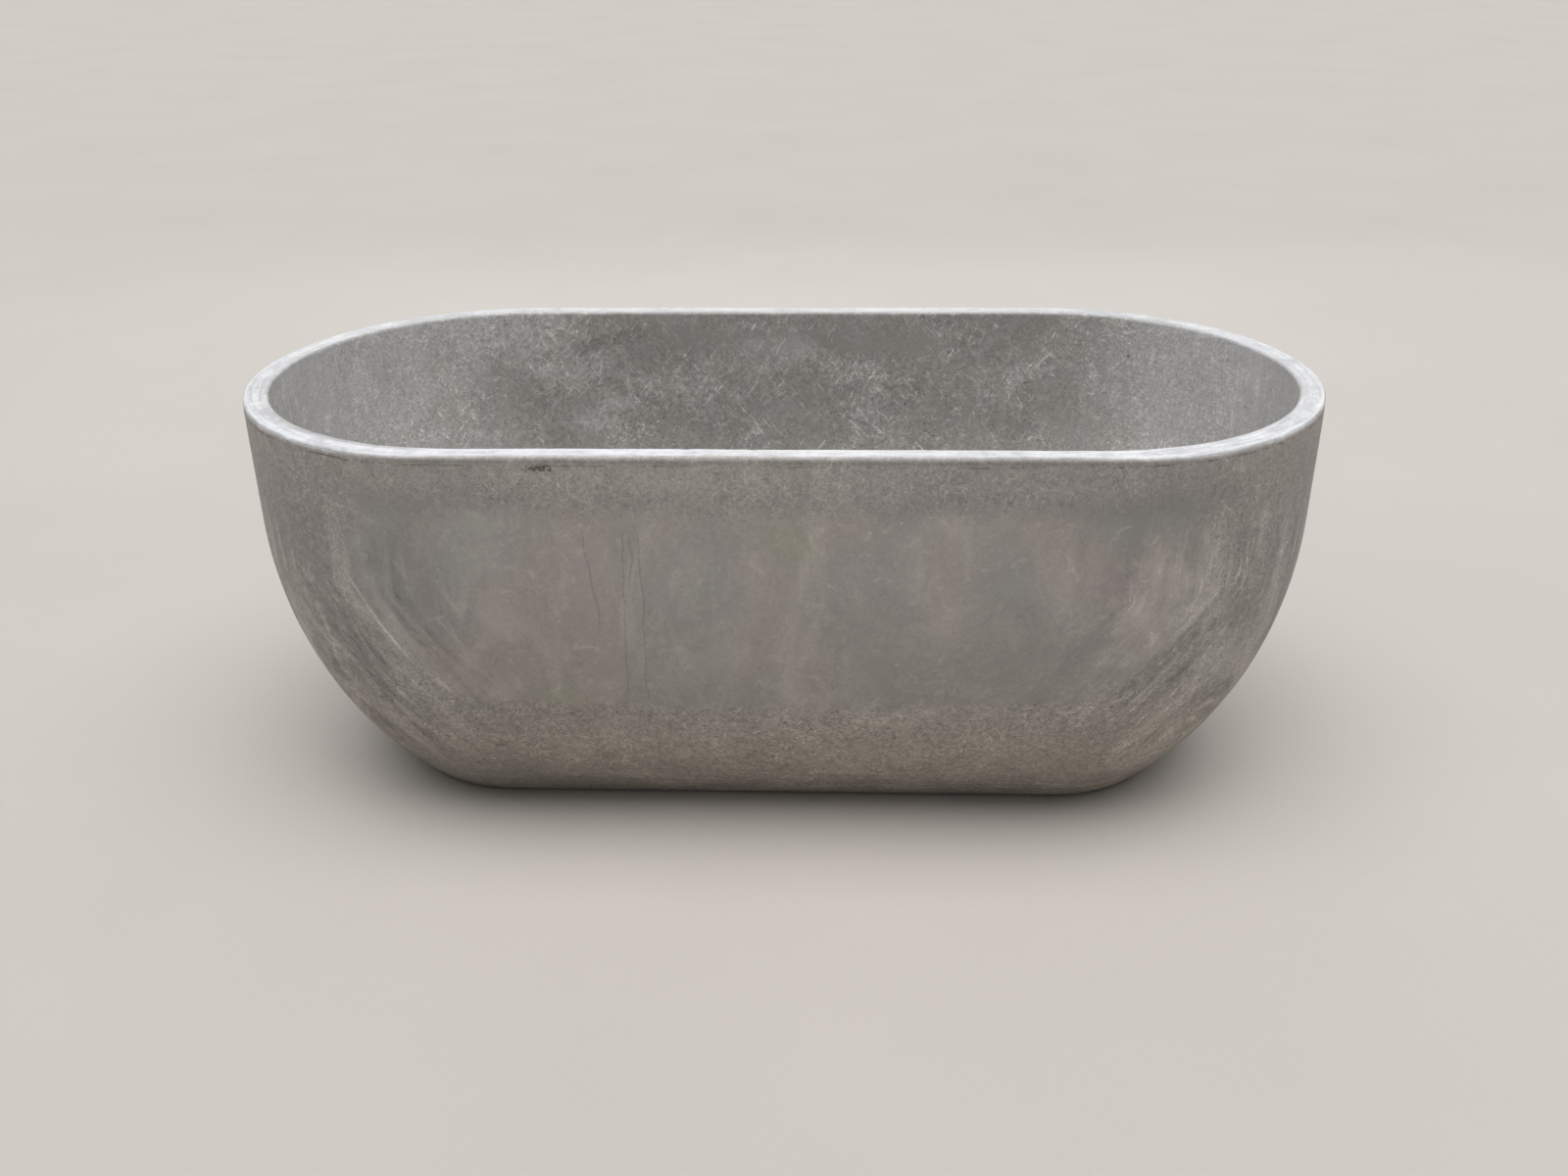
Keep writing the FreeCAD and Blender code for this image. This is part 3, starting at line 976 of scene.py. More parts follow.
class MouldedPiece(Enum):
    """The moulded pieces by what they are, each with its finish: grey plastic or black rubber."""

    SLEEVE = Moulded(
        "sleeve_plastic",
        bare=(0.165, 0.170, 0.172),
        dust=(0.360, 0.355, 0.340),
        grain=(900.0, 2.0, 0.5),
        relief=0.02,
        dust_noise=(48.0, 5.0, 0.66, 0.8),
        dust_step=(0.50, 0.74, 0.05, 0.75),
        roughness=(0.42, 0.80),
    )
    PLUG = Moulded(
        "plug_rubber",
        bare=(0.030, 0.031, 0.033),
        dust=(0.300, 0.285, 0.260),
        grain=(1100.0, 2.0, 0.6),
        relief=0.03,
        dust_noise=(85.0, 5.0, 0.68, 0.6),
        dust_step=(0.46, 0.76, 0.0, 0.35),
        roughness=(0.55, 0.90),
    )
    FOOT = replace(PLUG, name="foot_rubber", bare=(0.038, 0.036, 0.034), dust_step=(0.46, 0.76, 0.0, 0.70))


@dataclass(frozen=True)
class GridSteel(Finish):
    """The drain grids: stainless steel with a fine brushed lay and water marks."""

    name: str = "grid_steel"
    steel: Colour = (0.560, 0.555, 0.545)
    mark: Colour = (0.300, 0.290, 0.275)

    def surface(self, graph: Graph) -> Field:
        """Draws the steel.

        Args:
            graph: the material's nodes.

        Returns:
            The shader.
        """
        place = graph.place()
        lay = place.stretched((60.0, 1900.0, 1900.0)).noise(1.0, 2.0, 0.6)
        marks = place.noise(130.0, 4.0, 0.6).ease(0.52, 0.68)
        colour = graph.blend(marks * 0.7, self.steel, self.mark)
        roughness = lay.ease(0.3, 0.7, 0.24, 0.40) + marks * 0.22
        return self.principled(graph, lay.swing(0.010), Base_Color=colour, Roughness=roughness, Metallic=1.0)


@dataclass(frozen=True)
class StudioFloor(Finish):
    """The plain pale floor that the tub stands on."""

    name: str = "studio_floor"
    pale: Colour = (0.565, 0.535, 0.500)

    def surface(self, graph: Graph) -> Field:
        """Draws the floor.

        Args:
            graph: the material's nodes.

        Returns:
            The shader.
        """
        place = graph.place()
        tone = place.noise(1.3, 4.0, 0.55).swing(0.05) + place.noise(160.0, 2.0, 0.6).swing(0.03)
        colour = graph.field("ShaderNodeCombineColor", dict(enumerate(self.pale))).lit(tone)
        return self.principled(graph, Base_Color=colour, Roughness=0.88, Specular_IOR_Level=0.12)


def show(mesh: bpy.types.Mesh, name: str) -> bpy.types.Object:
    """Puts a mesh in the scene as an object at the origin.

    Args:
        mesh: the mesh.
        name: the object's name.

    Returns:
        The object.
    """
    piece = bpy.data.objects.new(name, mesh)
    bpy.context.scene.collection.objects.link(piece)
    return piece


def dress(piece: bpy.types.Object, material: bpy.types.Material) -> None:
    """Gives a piece one material over its whole surface.

    Args:
        piece: the piece.
        material: the material.
    """
    slots = piece.data.materials
    if not slots:
        slots.append(material)
    for index in range(len(slots)):
        slots[index] = material


class GeometryTree(Graph):
    """A geometry tree with named inputs, run on one piece."""

    def __init__(self, name: str, sizes: dict[str, Any]) -> None:
        """Makes the tree and its inputs.

        Args:
            name: the tree's name.
            sizes: each input's name and value; whole numbers and materials get sockets of their kind.
        """
        super().__init__(bpy.data.node_groups.new(name, "GeometryNodeTree"))
        self.sizes = sizes
        interface = self.tree.interface
        for way in ("INPUT", "OUTPUT"):
            interface.new_socket("Geometry", in_out=way, socket_type="NodeSocketGeometry")
        kinds = {int: "NodeSocketInt", float: "NodeSocketFloat"}
        for size_name, value in sizes.items():
            kind = kinds.get(type(value), "NodeSocketMaterial")
            interface.new_socket(size_name, in_out="INPUT", socket_type=kind)
        self.given = self.tree.nodes.new("NodeGroupInput").outputs

    def size(self, name: str) -> Field:
        """A named input."""
        return Field(self, self.given[name])

    def out(self, kind: str, inputs: dict | None = None, **settings: Any) -> Field:
        """Adds a geometry node and hands back its first output."""
        return self.field("GeometryNode" + kind, inputs, **settings)

    def chance(self, seed: Field, low: float = 0.0, high: float = 1.0) -> Field:
        """A random number between two for each point."""
        return self.field("FunctionNodeRandomValue", {2: low, 3: high, 8: seed}, 1, data_type="FLOAT")

    def merged(self, parts: list[Field]) -> Field:
        """Several geometries as one.

        Args:
            parts: the geometries.

        Returns:
            The joined geometry.
        """
        made = self.node("GeometryNodeJoinGeometry")
        for part in parts:
            self.tree.links.new(part.socket, made.inputs[0])
        return Field(self, made.outputs[0])

    def kept(self, geometry: Field, share: Share, value: Value) -> Field:
        """Stores a value on the points of a geometry.

        Args:
            geometry: the geometry.
            share: which attribute it goes into.
            value: the value.

        Returns:
            The geometry with its attribute.
        """
        kind = "FLOAT_VECTOR" if share is Share.RAIL else "FLOAT"
        inputs = {"Geometry": geometry, "Name": share.value, "Value": value}
        return self.out("StoreNamedAttribute", inputs, data_type=kind, domain="POINT")

    def read(self, share: Share) -> Field:
        """A stored value, read back."""
        return self.out("InputNamedAttribute", {"Name": share.value}, data_type="FLOAT")

    def pushed(self, geometry: Field, offset: Field) -> Field:
        """The geometry with its points moved by an offset."""
        return self.out("SetPosition", {"Geometry": geometry, "Offset": offset})

    def spread(self, part: Field, points: Field) -> Field:
        """Copies of a part at a set of points, as real geometry."""
        placed = self.out("InstanceOnPoints", {"Points": points, "Instance": part})
        return self.out("RealizeInstances", {"Geometry": placed})

    def run(self, piece: bpy.types.Object, result: Field, material: Field) -> None:
        """Ends the tree, runs it on a piece and leaves plain mesh.

        Args:
            piece: the piece whose mesh the tree starts from.
            result: the geometry that it makes.
            material: its material.
        """
        plain = self.out("RealizeInstances", {"Geometry": result})
        covered = self.out("SetMaterial", {"Geometry": plain, "Material": material})
        self.node("NodeGroupOutput", {0: covered})
        modifier = piece.modifiers.new(self.tree.name, "NODES")
        modifier.node_group = self.tree
        for item in self.tree.interface.items_tree:
            if item.name in self.sizes:
                modifier[item.identifier] = self.sizes[item.name]
        evaluated = piece.evaluated_get(bpy.context.evaluated_depsgraph_get())
        mesh = bpy.data.meshes.new_from_object(evaluated)
        piece.modifiers.clear()
        piece.data = mesh


class BowlTree(GeometryTree):
    """The bowl's tree, with the parts of its drain holes and foot recesses."""

    def ring(self, radius: Field) -> Field:
        """A circle of the holes' number of sides."""
        return self.out("CurvePrimitiveCircle", {"Resolution": self.size("Hole sides"), "Radius": radius})

    def hole_wall(self, radius: Field, low: Field, high: Field) -> Field:
        """The round wall of a hole between two levels, facing its axis.

        Args:
            radius: the hole's radius.
            low: its lower end.
            high: its upper end.

        Returns:
            The wall.
        """
        start = self.join(0.0, high * -1.0, 0.0)
        end = self.join(0.0, low * -1.0, 0.0)
        line = self.out("CurvePrimitiveLine", {"Start": start, "End": end})
        ring = self.out("SetCurveNormal", {"Curve": self.ring(radius)}, mode="Z_UP")
        wall = self.out("CurveToMesh", {"Curve": ring, "Profile Curve": line})
        return self.out("FlipFaces", {"Mesh": wall})

    def filled(self, loops: list[Field], level: Field, facing_up: bool) -> Field:
        """A flat face at a level, with a hole for each loop inside its outer loop.

        Args:
            loops: the closed curves.
            level: the face's height.
            facing_up: whether it faces up.

        Returns:
            The face.
        """
        flat = self.out("FillCurve", {"Curve": self.merged(loops)}, mode="TRIANGLES")
        x, y, _ = self.out("InputPosition").parts()
        placed = self.out("SetPosition", {"Geometry": flat, "Position": self.join(x, y, level)})
        return placed if facing_up else self.out("FlipFaces", {"Mesh": placed})

    def shared(self, part: Field, inside: float, down: float) -> Field:
        """A part of the floor with the shares that its finish reads.

        Args:
            part: the part.
            inside: how far it counts as inside.
            down: how far it counts as being down from the rim.

        Returns:
            The part with its attributes.
        """
        for share, value in ((Share.INSIDE, inside), (Share.RIM, 0.0), (Share.DOWN, down)):
            part = self.kept(part, share, value)
        return self.kept(part, Share.RAIL, self.out("InputPosition"))

    def open_loop(self, shell: Field, middle: float, upper: bool) -> Field:
        """The shell's open edge above or below a level, as a curve.

        Args:
            shell: the shell.
            middle: the level between its two open edges.
            upper: whether it is the upper one.

        Returns:
            The closed curve.
        """
        count = self.out("InputMeshEdgeNeighbors")
        z = self.out("InputPosition").parts()[2]
        chosen = count.under(1.5) * (z.over(middle) if upper else z.under(middle))
        return self.out("MeshToCurve", {"Mesh": shell, "Selection": chosen})


def arc_points(centre: Point, radius: float, start: float, end: float, pitch: float) -> list[Point]:
    """Points along an arc of a wall section.

    Args:
        centre: its centre, as reach and height.
        radius: its radius.
        start: the first angle, from straight outwards towards up.
        end: the last angle.
        pitch: about how far apart the points are.

    Returns:
        The points, both ends included.
    """
    count = max(2, round(abs(end - start) * radius / pitch))
    points = []
    for index in range(count + 1):
        turn = start + (end - start) * index / count
        points.append((centre[0] + radius * math.cos(turn), centre[1] + radius * math.sin(turn)))
    return points


def line_points(start: Point, end: Point, fine: float, coarse: float, growth: float = 1.12) -> list[Point]:
    """Points along a straight line, closest together at its end.

    Args:
        start: the first point.
        end: the last point.
        fine: the pitch at the end.
        coarse: the widest pitch.
        growth: how much wider each pitch is than the last.

    Returns:
        The points, both ends included.
    """
    length = math.dist(start, end)
    places = [0.0]
    pitch = fine
    while places[-1] + pitch < length:
        places.append(places[-1] + pitch)
        pitch = min(coarse, pitch * growth)
    places = [place * length / (places[-1] + pitch) for place in places] + [length]
    shares = [1 - place / length for place in reversed(places)]
    return [(start[0] + (end[0] - start[0]) * s, start[1] + (end[1] - start[1]) * s) for s in shares]


@dataclass
class Bowl:
    """The cast bowl: one wall section carried round a stadium plan, with its drain holes and recesses.

    It stands for the CAD shell and is drawn on the same sizes, with the unevenness of a hand-made
    casting and small losses along the edges of its rim. The four tuples of inputs name the sizes that
    its tree takes; some of them come from the frame.
    """

    wall: float = 0.036
    floor_slab: float = 0.045
    band_height: float = 0.180
    flank_radius: float = 0.650
    foot_round: float = 0.014
    cove_radius: float = 0.060
    outer_rim_round: float = 0.006
    inner_rim_round: float = 0.0045
    fit: float = 0.0003
    flange_thickness: float = 0.004
    grid_clearance: float = 0.0033
    underside_lift: float = 0.0002
    fine_pitch: float = 0.003
    wall_pitch: float = 0.017
    crown_pitch: float = 0.005
    cove_pitch: float = 0.009
    outer_round_pitch: float = 0.0019
    inner_round_pitch: float = 0.0018
    rail_pitch: float = 0.0052
    end_count: int = 180
    end_share: float = 0.49999
    still_reach: float = 0.05
    rim_fade_out: float = 0.007
    rim_fade_in: float = 0.011
    hole_sides: int = 64
    wave: float = 0.0014
    dent: float = 0.00035
    rim_wave: float = 0.0009
    edge_chips: int = 150
    inner_chips_from: float = 0.68
    chip_drop: float = 0.007
    least_chip: float = 0.0035
    most_chip: float = 0.0105
    chip_depth: float = 0.0016
    broken_depth: float = 0.0018
    seed: int = 7
    crisp_angle: float = 0.7
    merge_distance: float = 0.00002
    plan_inputs: tuple[str, ...] = ("tub_length", "tub_width", "rail_pitch", "floor_level", "underside_level")
    drain_inputs: tuple[str, ...] = ("flange_hole", "flange_seat", "bore_hole", "drain_place", "hole_sides")
    foot_inputs: tuple[str, ...] = ("foot_hole", "foot_recess_top", "foot_place_along", "foot_place_across")
    skin_inputs: tuple[str, ...] = ("wave", "dent", "rim_wave", "edge_chips", "chip_depth", "seed")

    def __post_init__(self) -> None:
        """Takes the overall sizes and the places of drains and feet from the frame."""
        low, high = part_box("tub_shell")
        self.tub_length = high.x - low.x
        self.tub_width = high.y - low.y
        self.rim_level = high.z
        self.floor_level = low.z + self.floor_slab
        self.underside_level = low.z + self.underside_lift
        self.band_bottom = self.rim_level - self.band_height
        self.half_width = self.tub_width / 2
        self.flank_centre = self.half_width - self.flank_radius
        sleeve_low, sleeve_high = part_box("right_drain_sleeve")
        foot_low, foot_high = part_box("back_right_foot")
        grid_low, grid_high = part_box("right_drain_grid")
        self.flange_hole = (sleeve_high.x - sleeve_low.x) / 2 + self.fit
        self.flange_seat = sleeve_high.z - self.flange_thickness
        self.bore_hole = (grid_high.x - grid_low.x) / 2 + self.grid_clearance + self.fit
        self.drain_place = (sleeve_high.x + sleeve_low.x) / 2
        self.foot_hole = (foot_high.x - foot_low.x) / 2 + self.fit
        self.foot_recess_top = foot_high.z
        self.foot_place_along = (foot_high.x + foot_low.x) / 2
        self.foot_place_across = (foot_high.y + foot_low.y) / 2

    def corner(self, depth: float, level: float, radius: float) -> tuple[Point, float]:
        """Where the section's corner between floor and flank has its centre, and where it ends.

        Args:
            depth: how deep under the outer face the line runs.
            level: the floor's height.
            radius: the corner's radius.

        Returns:
            The corner's centre and the angle at which the flank's arc takes over.
        """
        drop = self.band_bottom - level - radius
        span = self.flank_radius - depth - radius
        reach = self.flank_centre + math.sqrt(span ** 2 - drop ** 2)
        return (reach, level + radius), -math.asin(drop / span)

    def section(self) -> list[Point]:
        """The wall section, from the underside up the outer face, over the rim and down to the floor.

        Returns:
            Its points, as reach and height.
        """
        outer_centre, outer_join = self.corner(0.0, self.underside_level, self.foot_round)
        inner_centre, inner_join = self.corner(self.wall, self.floor_level, self.cove_radius)
        flank = (self.flank_centre, self.band_bottom)
        outer_top = self.rim_level - self.outer_rim_round
        inner_top = self.rim_level - self.inner_rim_round
        outer_reach = self.half_width - self.outer_rim_round
        inner_face = self.half_width - self.wall
        inner_reach = inner_face + self.inner_rim_round
        outer_band = ((self.half_width, self.band_bottom), (self.half_width, outer_top))
        inner_band = ((inner_face, self.band_bottom), (inner_face, inner_top))
        crown = ((outer_reach, self.rim_level), (inner_reach, self.rim_level))
        pitches = (self.fine_pitch, self.wall_pitch)
        outer_round = ((outer_reach, outer_top), self.outer_rim_round)
        inner_round = ((inner_reach, inner_top), self.inner_rim_round)
        inner_radius = self.flank_radius - self.wall
        runs = [
            arc_points(outer_centre, self.foot_round, -QUARTER_TURN, outer_join, self.fine_pitch),
            arc_points(flank, self.flank_radius, outer_join, 0.0, self.wall_pitch),
            line_points(*outer_band, *pitches),
            arc_points(*outer_round, 0.0, QUARTER_TURN, self.outer_round_pitch),
            line_points(*crown, self.crown_pitch, self.crown_pitch),
            arc_points(*inner_round, QUARTER_TURN, HALF_TURN, self.inner_round_pitch),
            line_points(*inner_band, *pitches)[::-1],
            arc_points(flank, inner_radius, 0.0, inner_join, self.wall_pitch),
            arc_points(inner_centre, self.cove_radius, inner_join, -QUARTER_TURN, self.cove_pitch),
        ]
        return [runs[0][0]] + [point for run in runs for point in run[1:]]

    def section_mesh(self) -> bpy.types.Mesh:
        """The wall section as a chain of edges that carries the shares for the finish.

        It is drawn as the tree's sweep takes it: across is the reach past the rail, up is downwards.

        Returns:
            The mesh.
        """
        points = self.section()
        steps = [math.dist(a, b) for a, b in zip(points, points[1:])]
        places = [sum(steps[:index]) for index in range(len(points))]
        top = [place for place, point in zip(places, points) if point[1] > self.rim_level - 0.1 * MM]
        crown = (top[0] + top[-1]) / 2
        half_crown = (top[-1] - top[0]) / 2
        mesh = bpy.data.meshes.new("bowl_section")
        corners = [(reach - self.half_width, -height, 0.0) for reach, height in points]
        mesh.from_pydata(corners, [(i, i + 1) for i in range(len(points) - 1)], [])
        shares = {share: [] for share in (Share.RIM, Share.INSIDE, Share.FREE, Share.DOWN)}
        for place in places:
            past = abs(place - crown)
            edge = min(place, places[-1] - place) / self.still_reach
            fade = self.rim_fade_out if place < crown else self.rim_fade_in
            shares[Share.DOWN].append(past)
            shares[Share.RIM].append(max(0.0, 1.0 - max(0.0, past - half_crown) / fade))
            shares[Share.INSIDE].append(min(1.0, max(0.0, 0.5 + (place - crown) / (2 * half_crown))))
            shares[Share.FREE].append(min(1.0, edge) ** 2)
        for share, values in shares.items():
            mesh.attributes.new(share.value, "FLOAT", "POINT").data.foreach_set("value", values)
        return mesh

    def sizes(self, material: bpy.types.Material) -> dict[str, Any]:
        """The tree's named inputs.

        Args:
            material: the concrete.

        Returns:
            Each input's name and value.
        """
        taken = (*self.plan_inputs, *self.drain_inputs, *self.foot_inputs, *self.skin_inputs)
        named = {name.replace("_", " ").capitalize(): getattr(self, name) for name in taken}
        return {**named, "Concrete": material}

    def rail(self, tree: BowlTree) -> Field:
        """The stadium that the section is carried round, with each point's place kept on it.

        Args:
            tree: the bowl's tree.

        Returns:
            The rail curve.
        """
        sides = {"Width": tree.size("Tub length"), "Height": tree.size("Tub width")}
        oblong = tree.out("CurvePrimitiveQuadrilateral", sides, mode="RECTANGLE")
        ends = {"Curve": oblong, "Count": self.end_count, "Radius": tree.size("Tub width") * self.end_share}
        rounded = tree.out("FilletCurve", ends, mode="POLY")
        even = tree.out("ResampleCurve", {"Curve": rounded, "Length": tree.size("Rail pitch")}, mode="LENGTH")
        upright = tree.out("SetCurveNormal", {"Curve": even}, mode="Z_UP")
        return tree.kept(upright, Share.RAIL, tree.out("InputPosition"))

    def uneven(self, tree: BowlTree, shell: Field) -> Field:
        """The shell with the slow waves and shallow dents of a hand-made casting.

        Args:
            tree: the bowl's tree.
            shell: the smooth shell.

        Returns:
            The uneven shell.
        """
        place = tree.out("InputPosition")
        wave = place.noise(3.1, 2.0).swing(1.0) * tree.size("Wave")
        dent = place.noise(15.0, 2.0).swing(1.0) * tree.size("Dent")
        lift = place.noise(8.5, 3.0).swing(1.0) * tree.size("Rim wave") * tree.read(Share.RIM)
        shift = tree.out("InputNormal").scaled((wave + dent) * tree.read(Share.FREE))
        return tree.pushed(shell, shift.moved(tree.join(0.0, 0.0, lift)))

    def chipped(self, tree: BowlTree, shell: Field, rail: Field) -> Field:
        """The shell with small losses scattered along both edges of the rim.

        Args:
            tree: the bowl's tree.
            shell: the shell.
            rail: the rail, which the rim's outer edge follows.

        Returns:
            The chipped shell.
        """
        seed = tree.size("Seed")
        inputs = {"Curves": rail, "Factor": tree.chance(seed)}
        on_rail = tree.node("GeometryNodeSampleCurve", inputs, mode="FACTOR").outputs
        inward = tree.chance(seed + 1.0).over(self.inner_chips_from) * -self.wall
        edge = Field(tree, on_rail["Position"]).moved(Field(tree, on_rail["Normal"]).scaled(inward))
        level = tree.chance(seed + 2.0, self.rim_level - self.chip_drop, self.rim_level)
        spot = edge.moved(tree.join(0.0, 0.0, level))
        chips = tree.out("Points", {"Count": tree.size("Edge chips"), "Position": spot})
        place = tree.out("InputPosition")
        near = tree.field("GeometryNodeProximity", {0: chips, 2: place}, "Distance", target_element="POINTS")
        nearest = tree.out("SampleNearest", {"Geometry": chips, "Sample Position": place}, domain="POINT")
        any_size = tree.chance(seed + 3.0, self.least_chip, self.most_chip)
        inputs = {"Geometry": chips, "Value": any_size, "Index": nearest}
        reach = tree.out("SampleIndex", inputs, data_type="FLOAT", domain="POINT")
        ragged = place.noise(330.0, 2.0).ease(0.30, 0.62, 0.35, 1.0)
        bite = (near / reach).ease(1.0, 0.15) * ragged * (reach / self.most_chip)
        return tree.pushed(shell, tree.out("InputNormal").scaled(bite * tree.size("Chip depth") * -1.0))

    def bitten(self, tree: BowlTree, shell: Field, finish: CastConcrete) -> Field:
        """The shell with the broken spot under the rim pressed in.

        Args:
            tree: the bowl's tree.
            shell: the shell.
            finish: the concrete, which says where the spot is.

        Returns:
            The shell with its broken spot.
        """
        x, y, z = tree.out("InputPosition").parts()
        on_front = y.under(-(self.half_width - self.wall / 2))
        depth = finish.chip_reach(tree, x, z).ease(1.25, 0.2) * on_front * self.broken_depth
        return tree.pushed(shell, tree.join(0.0, depth, 0.0))

    def underneath(self, tree: BowlTree, shell: Field) -> list[Field]:
        """The floor inside, the underside, the stepped drain holes and the recesses for the feet.

        Args:
            tree: the bowl's tree.
            shell: the wall, whose open edges they close.

        Returns:
            The parts, with the shares that the finish reads.
        """
        index = tree.out("InputIndex")
        drain_x = (index * 2.0 + -1.0) * tree.size("Drain place")
        drains = tree.out("Points", {"Count": 2, "Position": tree.join(drain_x)})
        foot_x = (tree.math("MODULO", index, 3.0) - 1.0) * tree.size("Foot place along")
        foot_y = (index.over(2.5) * 2.0 + -1.0) * tree.size("Foot place across")
        feet = tree.out("Points", {"Count": 6, "Position": tree.join(foot_x, foot_y)})

        floor, base = tree.size("Floor level"), tree.size("Underside level")
        flange, bore, seat = tree.size("Flange hole"), tree.size("Bore hole"), tree.size("Flange seat")
        foot, recess = tree.size("Foot hole"), tree.size("Foot recess top")
        middle = (self.underside_level + self.floor_level) / 2
        floor_loops = [tree.open_loop(shell, middle, True), tree.spread(tree.ring(flange), drains)]
        bores = [tree.spread(tree.ring(bore), drains), tree.spread(tree.ring(foot), feet)]
        under_loops = [tree.open_loop(shell, middle, False)] + bores
        drain_parts = [
            tree.hole_wall(flange, seat, floor),
            tree.filled([tree.ring(flange), tree.ring(bore)], seat, True),
            tree.hole_wall(bore, base, seat),
        ]
        foot_parts = [tree.hole_wall(foot, base, recess), tree.filled([tree.ring(foot)], recess, False)]
        return [
            tree.shared(tree.filled(floor_loops, floor, True), 1.0, self.rim_level),
            tree.shared(tree.filled(under_loops, base, False), 0.0, self.rim_level),
            tree.shared(tree.spread(tree.merged(drain_parts), drains), 1.0, self.rim_level),
            tree.shared(tree.spread(tree.merged(foot_parts), feet), 0.0, self.rim_level),
        ]

    def build(self, finish: CastConcrete) -> bpy.types.Object:
        """Makes the bowl.

        Args:
            finish: its concrete.

        Returns:
            The finished piece.
        """
        piece = show(self.section_mesh(), "cast_bowl")
        tree = BowlTree("bowl_sweep", self.sizes(finish.material()))
        rail = self.rail(tree)
        section = tree.out("MeshToCurve", {"Mesh": tree.given[0]})
        swept = tree.out("CurveToMesh", {"Curve": rail, "Profile Curve": section})
        shell = self.uneven(tree, tree.out("FlipFaces", {"Mesh": swept}))
        shell = self.chipped(tree, shell, rail)
        shell = self.bitten(tree, shell, finish)
        parts = tree.merged([shell] + self.underneath(tree, shell))
        whole = tree.out("MergeByDistance", {"Geometry": parts, "Distance": self.merge_distance})
        crisp = tree.out("InputMeshEdgeAngle").over(self.crisp_angle)
        shading = {"Geometry": whole, "Selection": crisp, "Shade Smooth": False}
        whole = tree.out("SetShadeSmooth", shading, domain="EDGE")
        tree.run(piece, whole, tree.size("Concrete"))
        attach(piece, "tub")
        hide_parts("tub_shell")
        return piece


@dataclass
class BarCage:
    """The steel bars in the wall and floor, and the blocks that held them off the mould."""

    hoops: tuple[str, ...] = ("rim_hoop", "band_hoop", "flank_hoop_1", "flank_hoop_2")
    floor_bars: tuple[str, ...] = ("front_floor_bar", "back_floor_bar")
    ends: tuple[str, ...] = ("left", "right")
    end_rows: tuple[str, ...] = ("front", "middle", "back")
    cross_bar_count: int = 5

    def bars(self) -> list[str]:
        """The names of all the bars.

        Returns:
            The names, as the frame has them.
        """
        cross_bars = [f"cross_bar_{index + 1}" for index in range(self.cross_bar_count)]
        end_bars = [f"{end}_end_bar_{row}" for end in self.ends for row in self.end_rows]
        return [*self.hoops, *self.floor_bars, *cross_bars, *end_bars]

    def build(self) -> None:
        """Dresses the bars and the blocks."""
        steel = BarSteel().material()
        for name in self.bars():
            dress(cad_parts[name], steel)
        dress(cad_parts["bar_spacers"], Mortar().material())


@dataclass
class Drains:
    """The two drains: sleeve, grid and plug."""

    sides: tuple[str, ...] = ("left", "right")

    def build(self) -> None:
        """Dresses the drains' pieces."""
        kinds = {"sleeve": MouldedPiece.SLEEVE.value, "grid": GridSteel(), "plug": MouldedPiece.PLUG.value}
        for kind, finish in kinds.items():
            material = finish.material()
            for side in self.sides:
                dress(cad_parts[f"{side}_drain_{kind}"], material)


@dataclass
class Feet:
    """The six rubber feet under the base."""

    columns: tuple[str, ...] = ("left", "middle", "right")
    rows: tuple[str, ...] = ("front", "back")

    def build(self) -> None:
        """Dresses the feet."""
        rubber = MouldedPiece.FOOT.value.material()
        for row in self.rows:
            for column in self.columns:
                dress(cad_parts[f"{row}_{column}_foot"], rubber)


@dataclass(frozen=True)
class Lamp:
    """A light of the studio, with the direction in which it shines."""

    name: str
    travel: Vector
    strength: float
    colour: Colour

    def hang(self, kind: str, place: Vector = Vector((0.0, 0.0, 0.0))) -> bpy.types.Light:
        """Puts the light in the scene.

        Args:
            kind: Blender's name for its kind.
            place: where it hangs.

        Returns:
            The light, for what its kind has besides.
        """
        lamp = bpy.data.lights.new(self.name, kind)
        lamp.energy = self.strength
        lamp.color = self.colour
        hung = bpy.data.objects.new(self.name, lamp)
        hung.location = place
        hung.rotation_euler = self.travel.to_track_quat("-Z", "Y").to_euler()
        bpy.context.scene.collection.objects.link(hung)
        return lamp


@dataclass(frozen=True)
class SoftLight(Lamp):
    """A large soft lamp that hangs in its place."""

    place: Vector
    width: float
    depth: float

    def build(self) -> None:
        """Hangs the lamp."""
        lamp = self.hang("AREA", self.place)
        lamp.shape = "RECTANGLE"
        lamp.size = self.width
        lamp.size_y = self.depth


@dataclass(frozen=True)
class BroadSun(Lamp):
    """A far light as wide as a skylight, so that it falls alike on the whole floor."""

    spread: float

    def build(self) -> None:
        """Sets the light."""
        self.hang("SUN").angle = self.spread


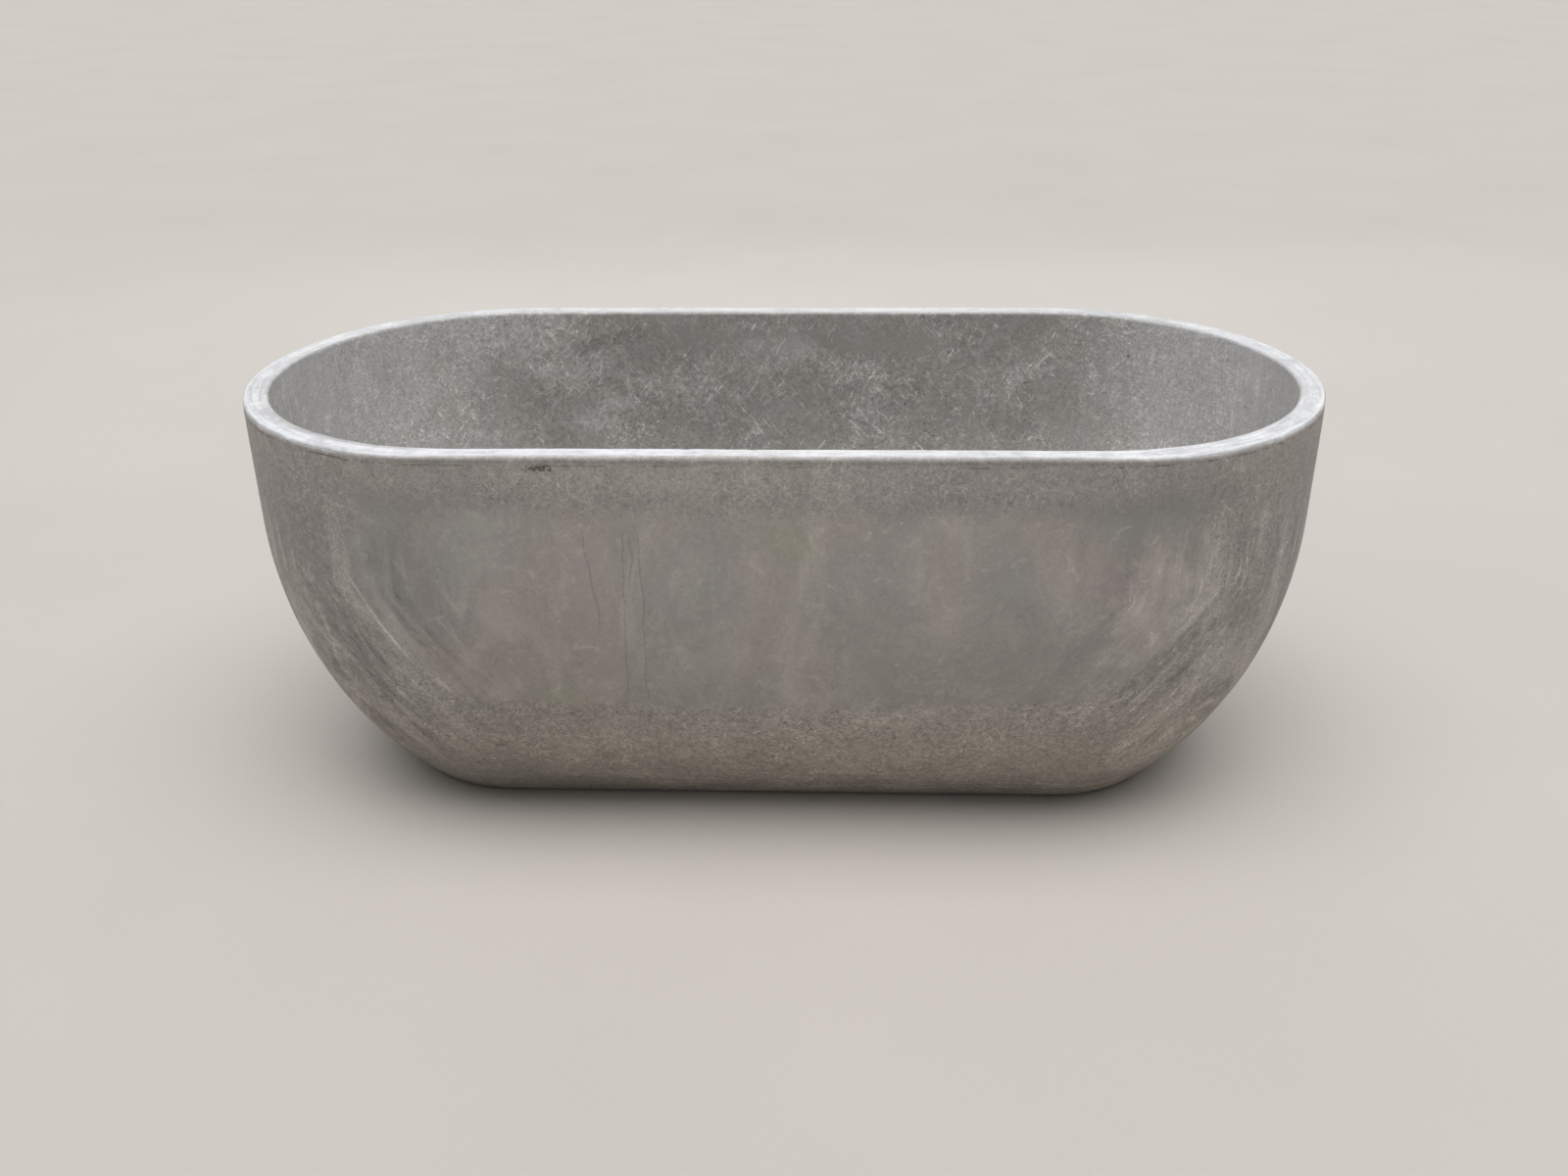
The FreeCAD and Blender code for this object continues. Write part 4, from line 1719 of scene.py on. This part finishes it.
@dataclass
class Studio:
    """The plain floor, the soft lamps, the pale surroundings and the camera."""

    floor_half: float = 40.0
    camera_place: Vector = Vector((0.086119, -2.079389, 1.276830))
    camera_right: Vector = Vector((0.99932141, 0.03564835, -0.00926925))
    camera_up: Vector = Vector((-0.00718932, 0.43558464, 0.90011907))
    lens: float = 32.656
    sensor: float = 36.0
    sky: Colour = (0.985, 0.99, 1.0)
    horizon: float = 0.02
    zenith: float = 0.40
    background: float = 0.82
    warm_light: Colour = (1.0, 0.99, 0.98)
    cool_light: Colour = (0.97, 0.985, 1.0)
    skylight_tilts: tuple[tuple[str, float], ...] = (("left", 0.34), ("middle", -0.02), ("right", -0.38))

    def lights(self) -> list[Lamp]:
        """The parts of the skylight, the weak light from the front and the lamp at the back.

        Returns:
            The lights.
        """
        warm, cool = self.warm_light, self.cool_light
        made = []
        for side, tilt in self.skylight_tilts:
            travel = Vector((tilt, 0.21, -1.0))
            made.append(BroadSun(f"skylight_{side}", travel, strength=0.90, colour=warm, spread=0.72))
        travel = Vector((-0.12, 1.0, -0.36))
        made.append(BroadSun("front_fill", travel, strength=0.12, colour=warm, spread=0.9))
        travel, place = Vector((0.0, -3.4, -1.3)), Vector((0.0, 3.4, 1.9))
        made.append(SoftLight("back_lamp", travel, 14.0, cool, place, width=4.6, depth=1.2))
        return made

    def floor(self) -> None:
        """Lays the floor."""
        mesh = bpy.data.meshes.new("studio_floor")
        half = self.floor_half
        corners = [(-half, -half, 0), (half, -half, 0), (half, half, 0), (-half, half, 0)]
        mesh.from_pydata(corners, [], [(0, 1, 2, 3)])
        piece = show(mesh, "studio_floor")
        dress(piece, StudioFloor().material())

    def surroundings(self) -> None:
        """Lights the surroundings most overhead, and shows them pale to the camera and to gloss."""
        world = bpy.data.worlds.new("studio")
        world.use_nodes = True
        world.node_tree.nodes.clear()
        graph = Graph(world.node_tree)
        rays = graph.node("ShaderNodeLightPath").outputs
        seen = Field(graph, rays["Is Camera Ray"])
        for ray in ("Is Glossy Ray", "Is Transmission Ray"):
            seen = seen.most(rays[ray])
        upward = graph.field("ShaderNodeTexCoord", None, "Generated").parts()[2]
        ambient = upward.ease(0.12, 0.90, self.horizon, self.zenith)
        strength = graph.between(seen, ambient, self.background)
        light = graph.field("ShaderNodeBackground", {"Color": opaque(self.sky), "Strength": strength})
        graph.node("ShaderNodeOutputWorld", {"Surface": light})
        bpy.context.scene.world = world

    def camera(self) -> None:
        """Sets the camera where the photograph was taken from."""
        lens = bpy.data.cameras.new("camera")
        lens.lens = self.lens
        lens.sensor_width = self.sensor
        lens.clip_end = 4 * self.floor_half
        eye = bpy.data.objects.new("camera", lens)
        right = self.camera_right.normalized()
        up = self.camera_up.normalized()
        turn = Matrix((right, up, right.cross(up))).transposed()
        eye.matrix_world = Matrix.Translation(self.camera_place) @ turn.to_4x4()
        bpy.context.scene.collection.objects.link(eye)
        bpy.context.scene.camera = eye

    def build(self) -> None:
        """Sets up the studio."""
        bpy.context.scene.view_settings.view_transform = "Standard"
        self.camera()
        self.floor()
        self.surroundings()
        for light in self.lights():
            light.build()


def main() -> None:
    """Builds the studio and the planter's sub-assemblies in order."""
    logging.basicConfig(level=logging.INFO, format="%(name)s: %(message)s")
    Studio().build()
    LOG.info("studio: floor, lamps, surroundings and camera")
    bowl = Bowl().build(CastConcrete())
    LOG.info("cast bowl: %d faces", len(bowl.data.polygons))
    cage = BarCage()
    cage.build()
    LOG.info("bar cage: %d bars and their blocks", len(cage.bars()))
    Drains().build()
    LOG.info("drains: sleeves, grids and plugs")
    Feet().build()
    LOG.info("feet: six")


if __name__ == "__main__":
    main()
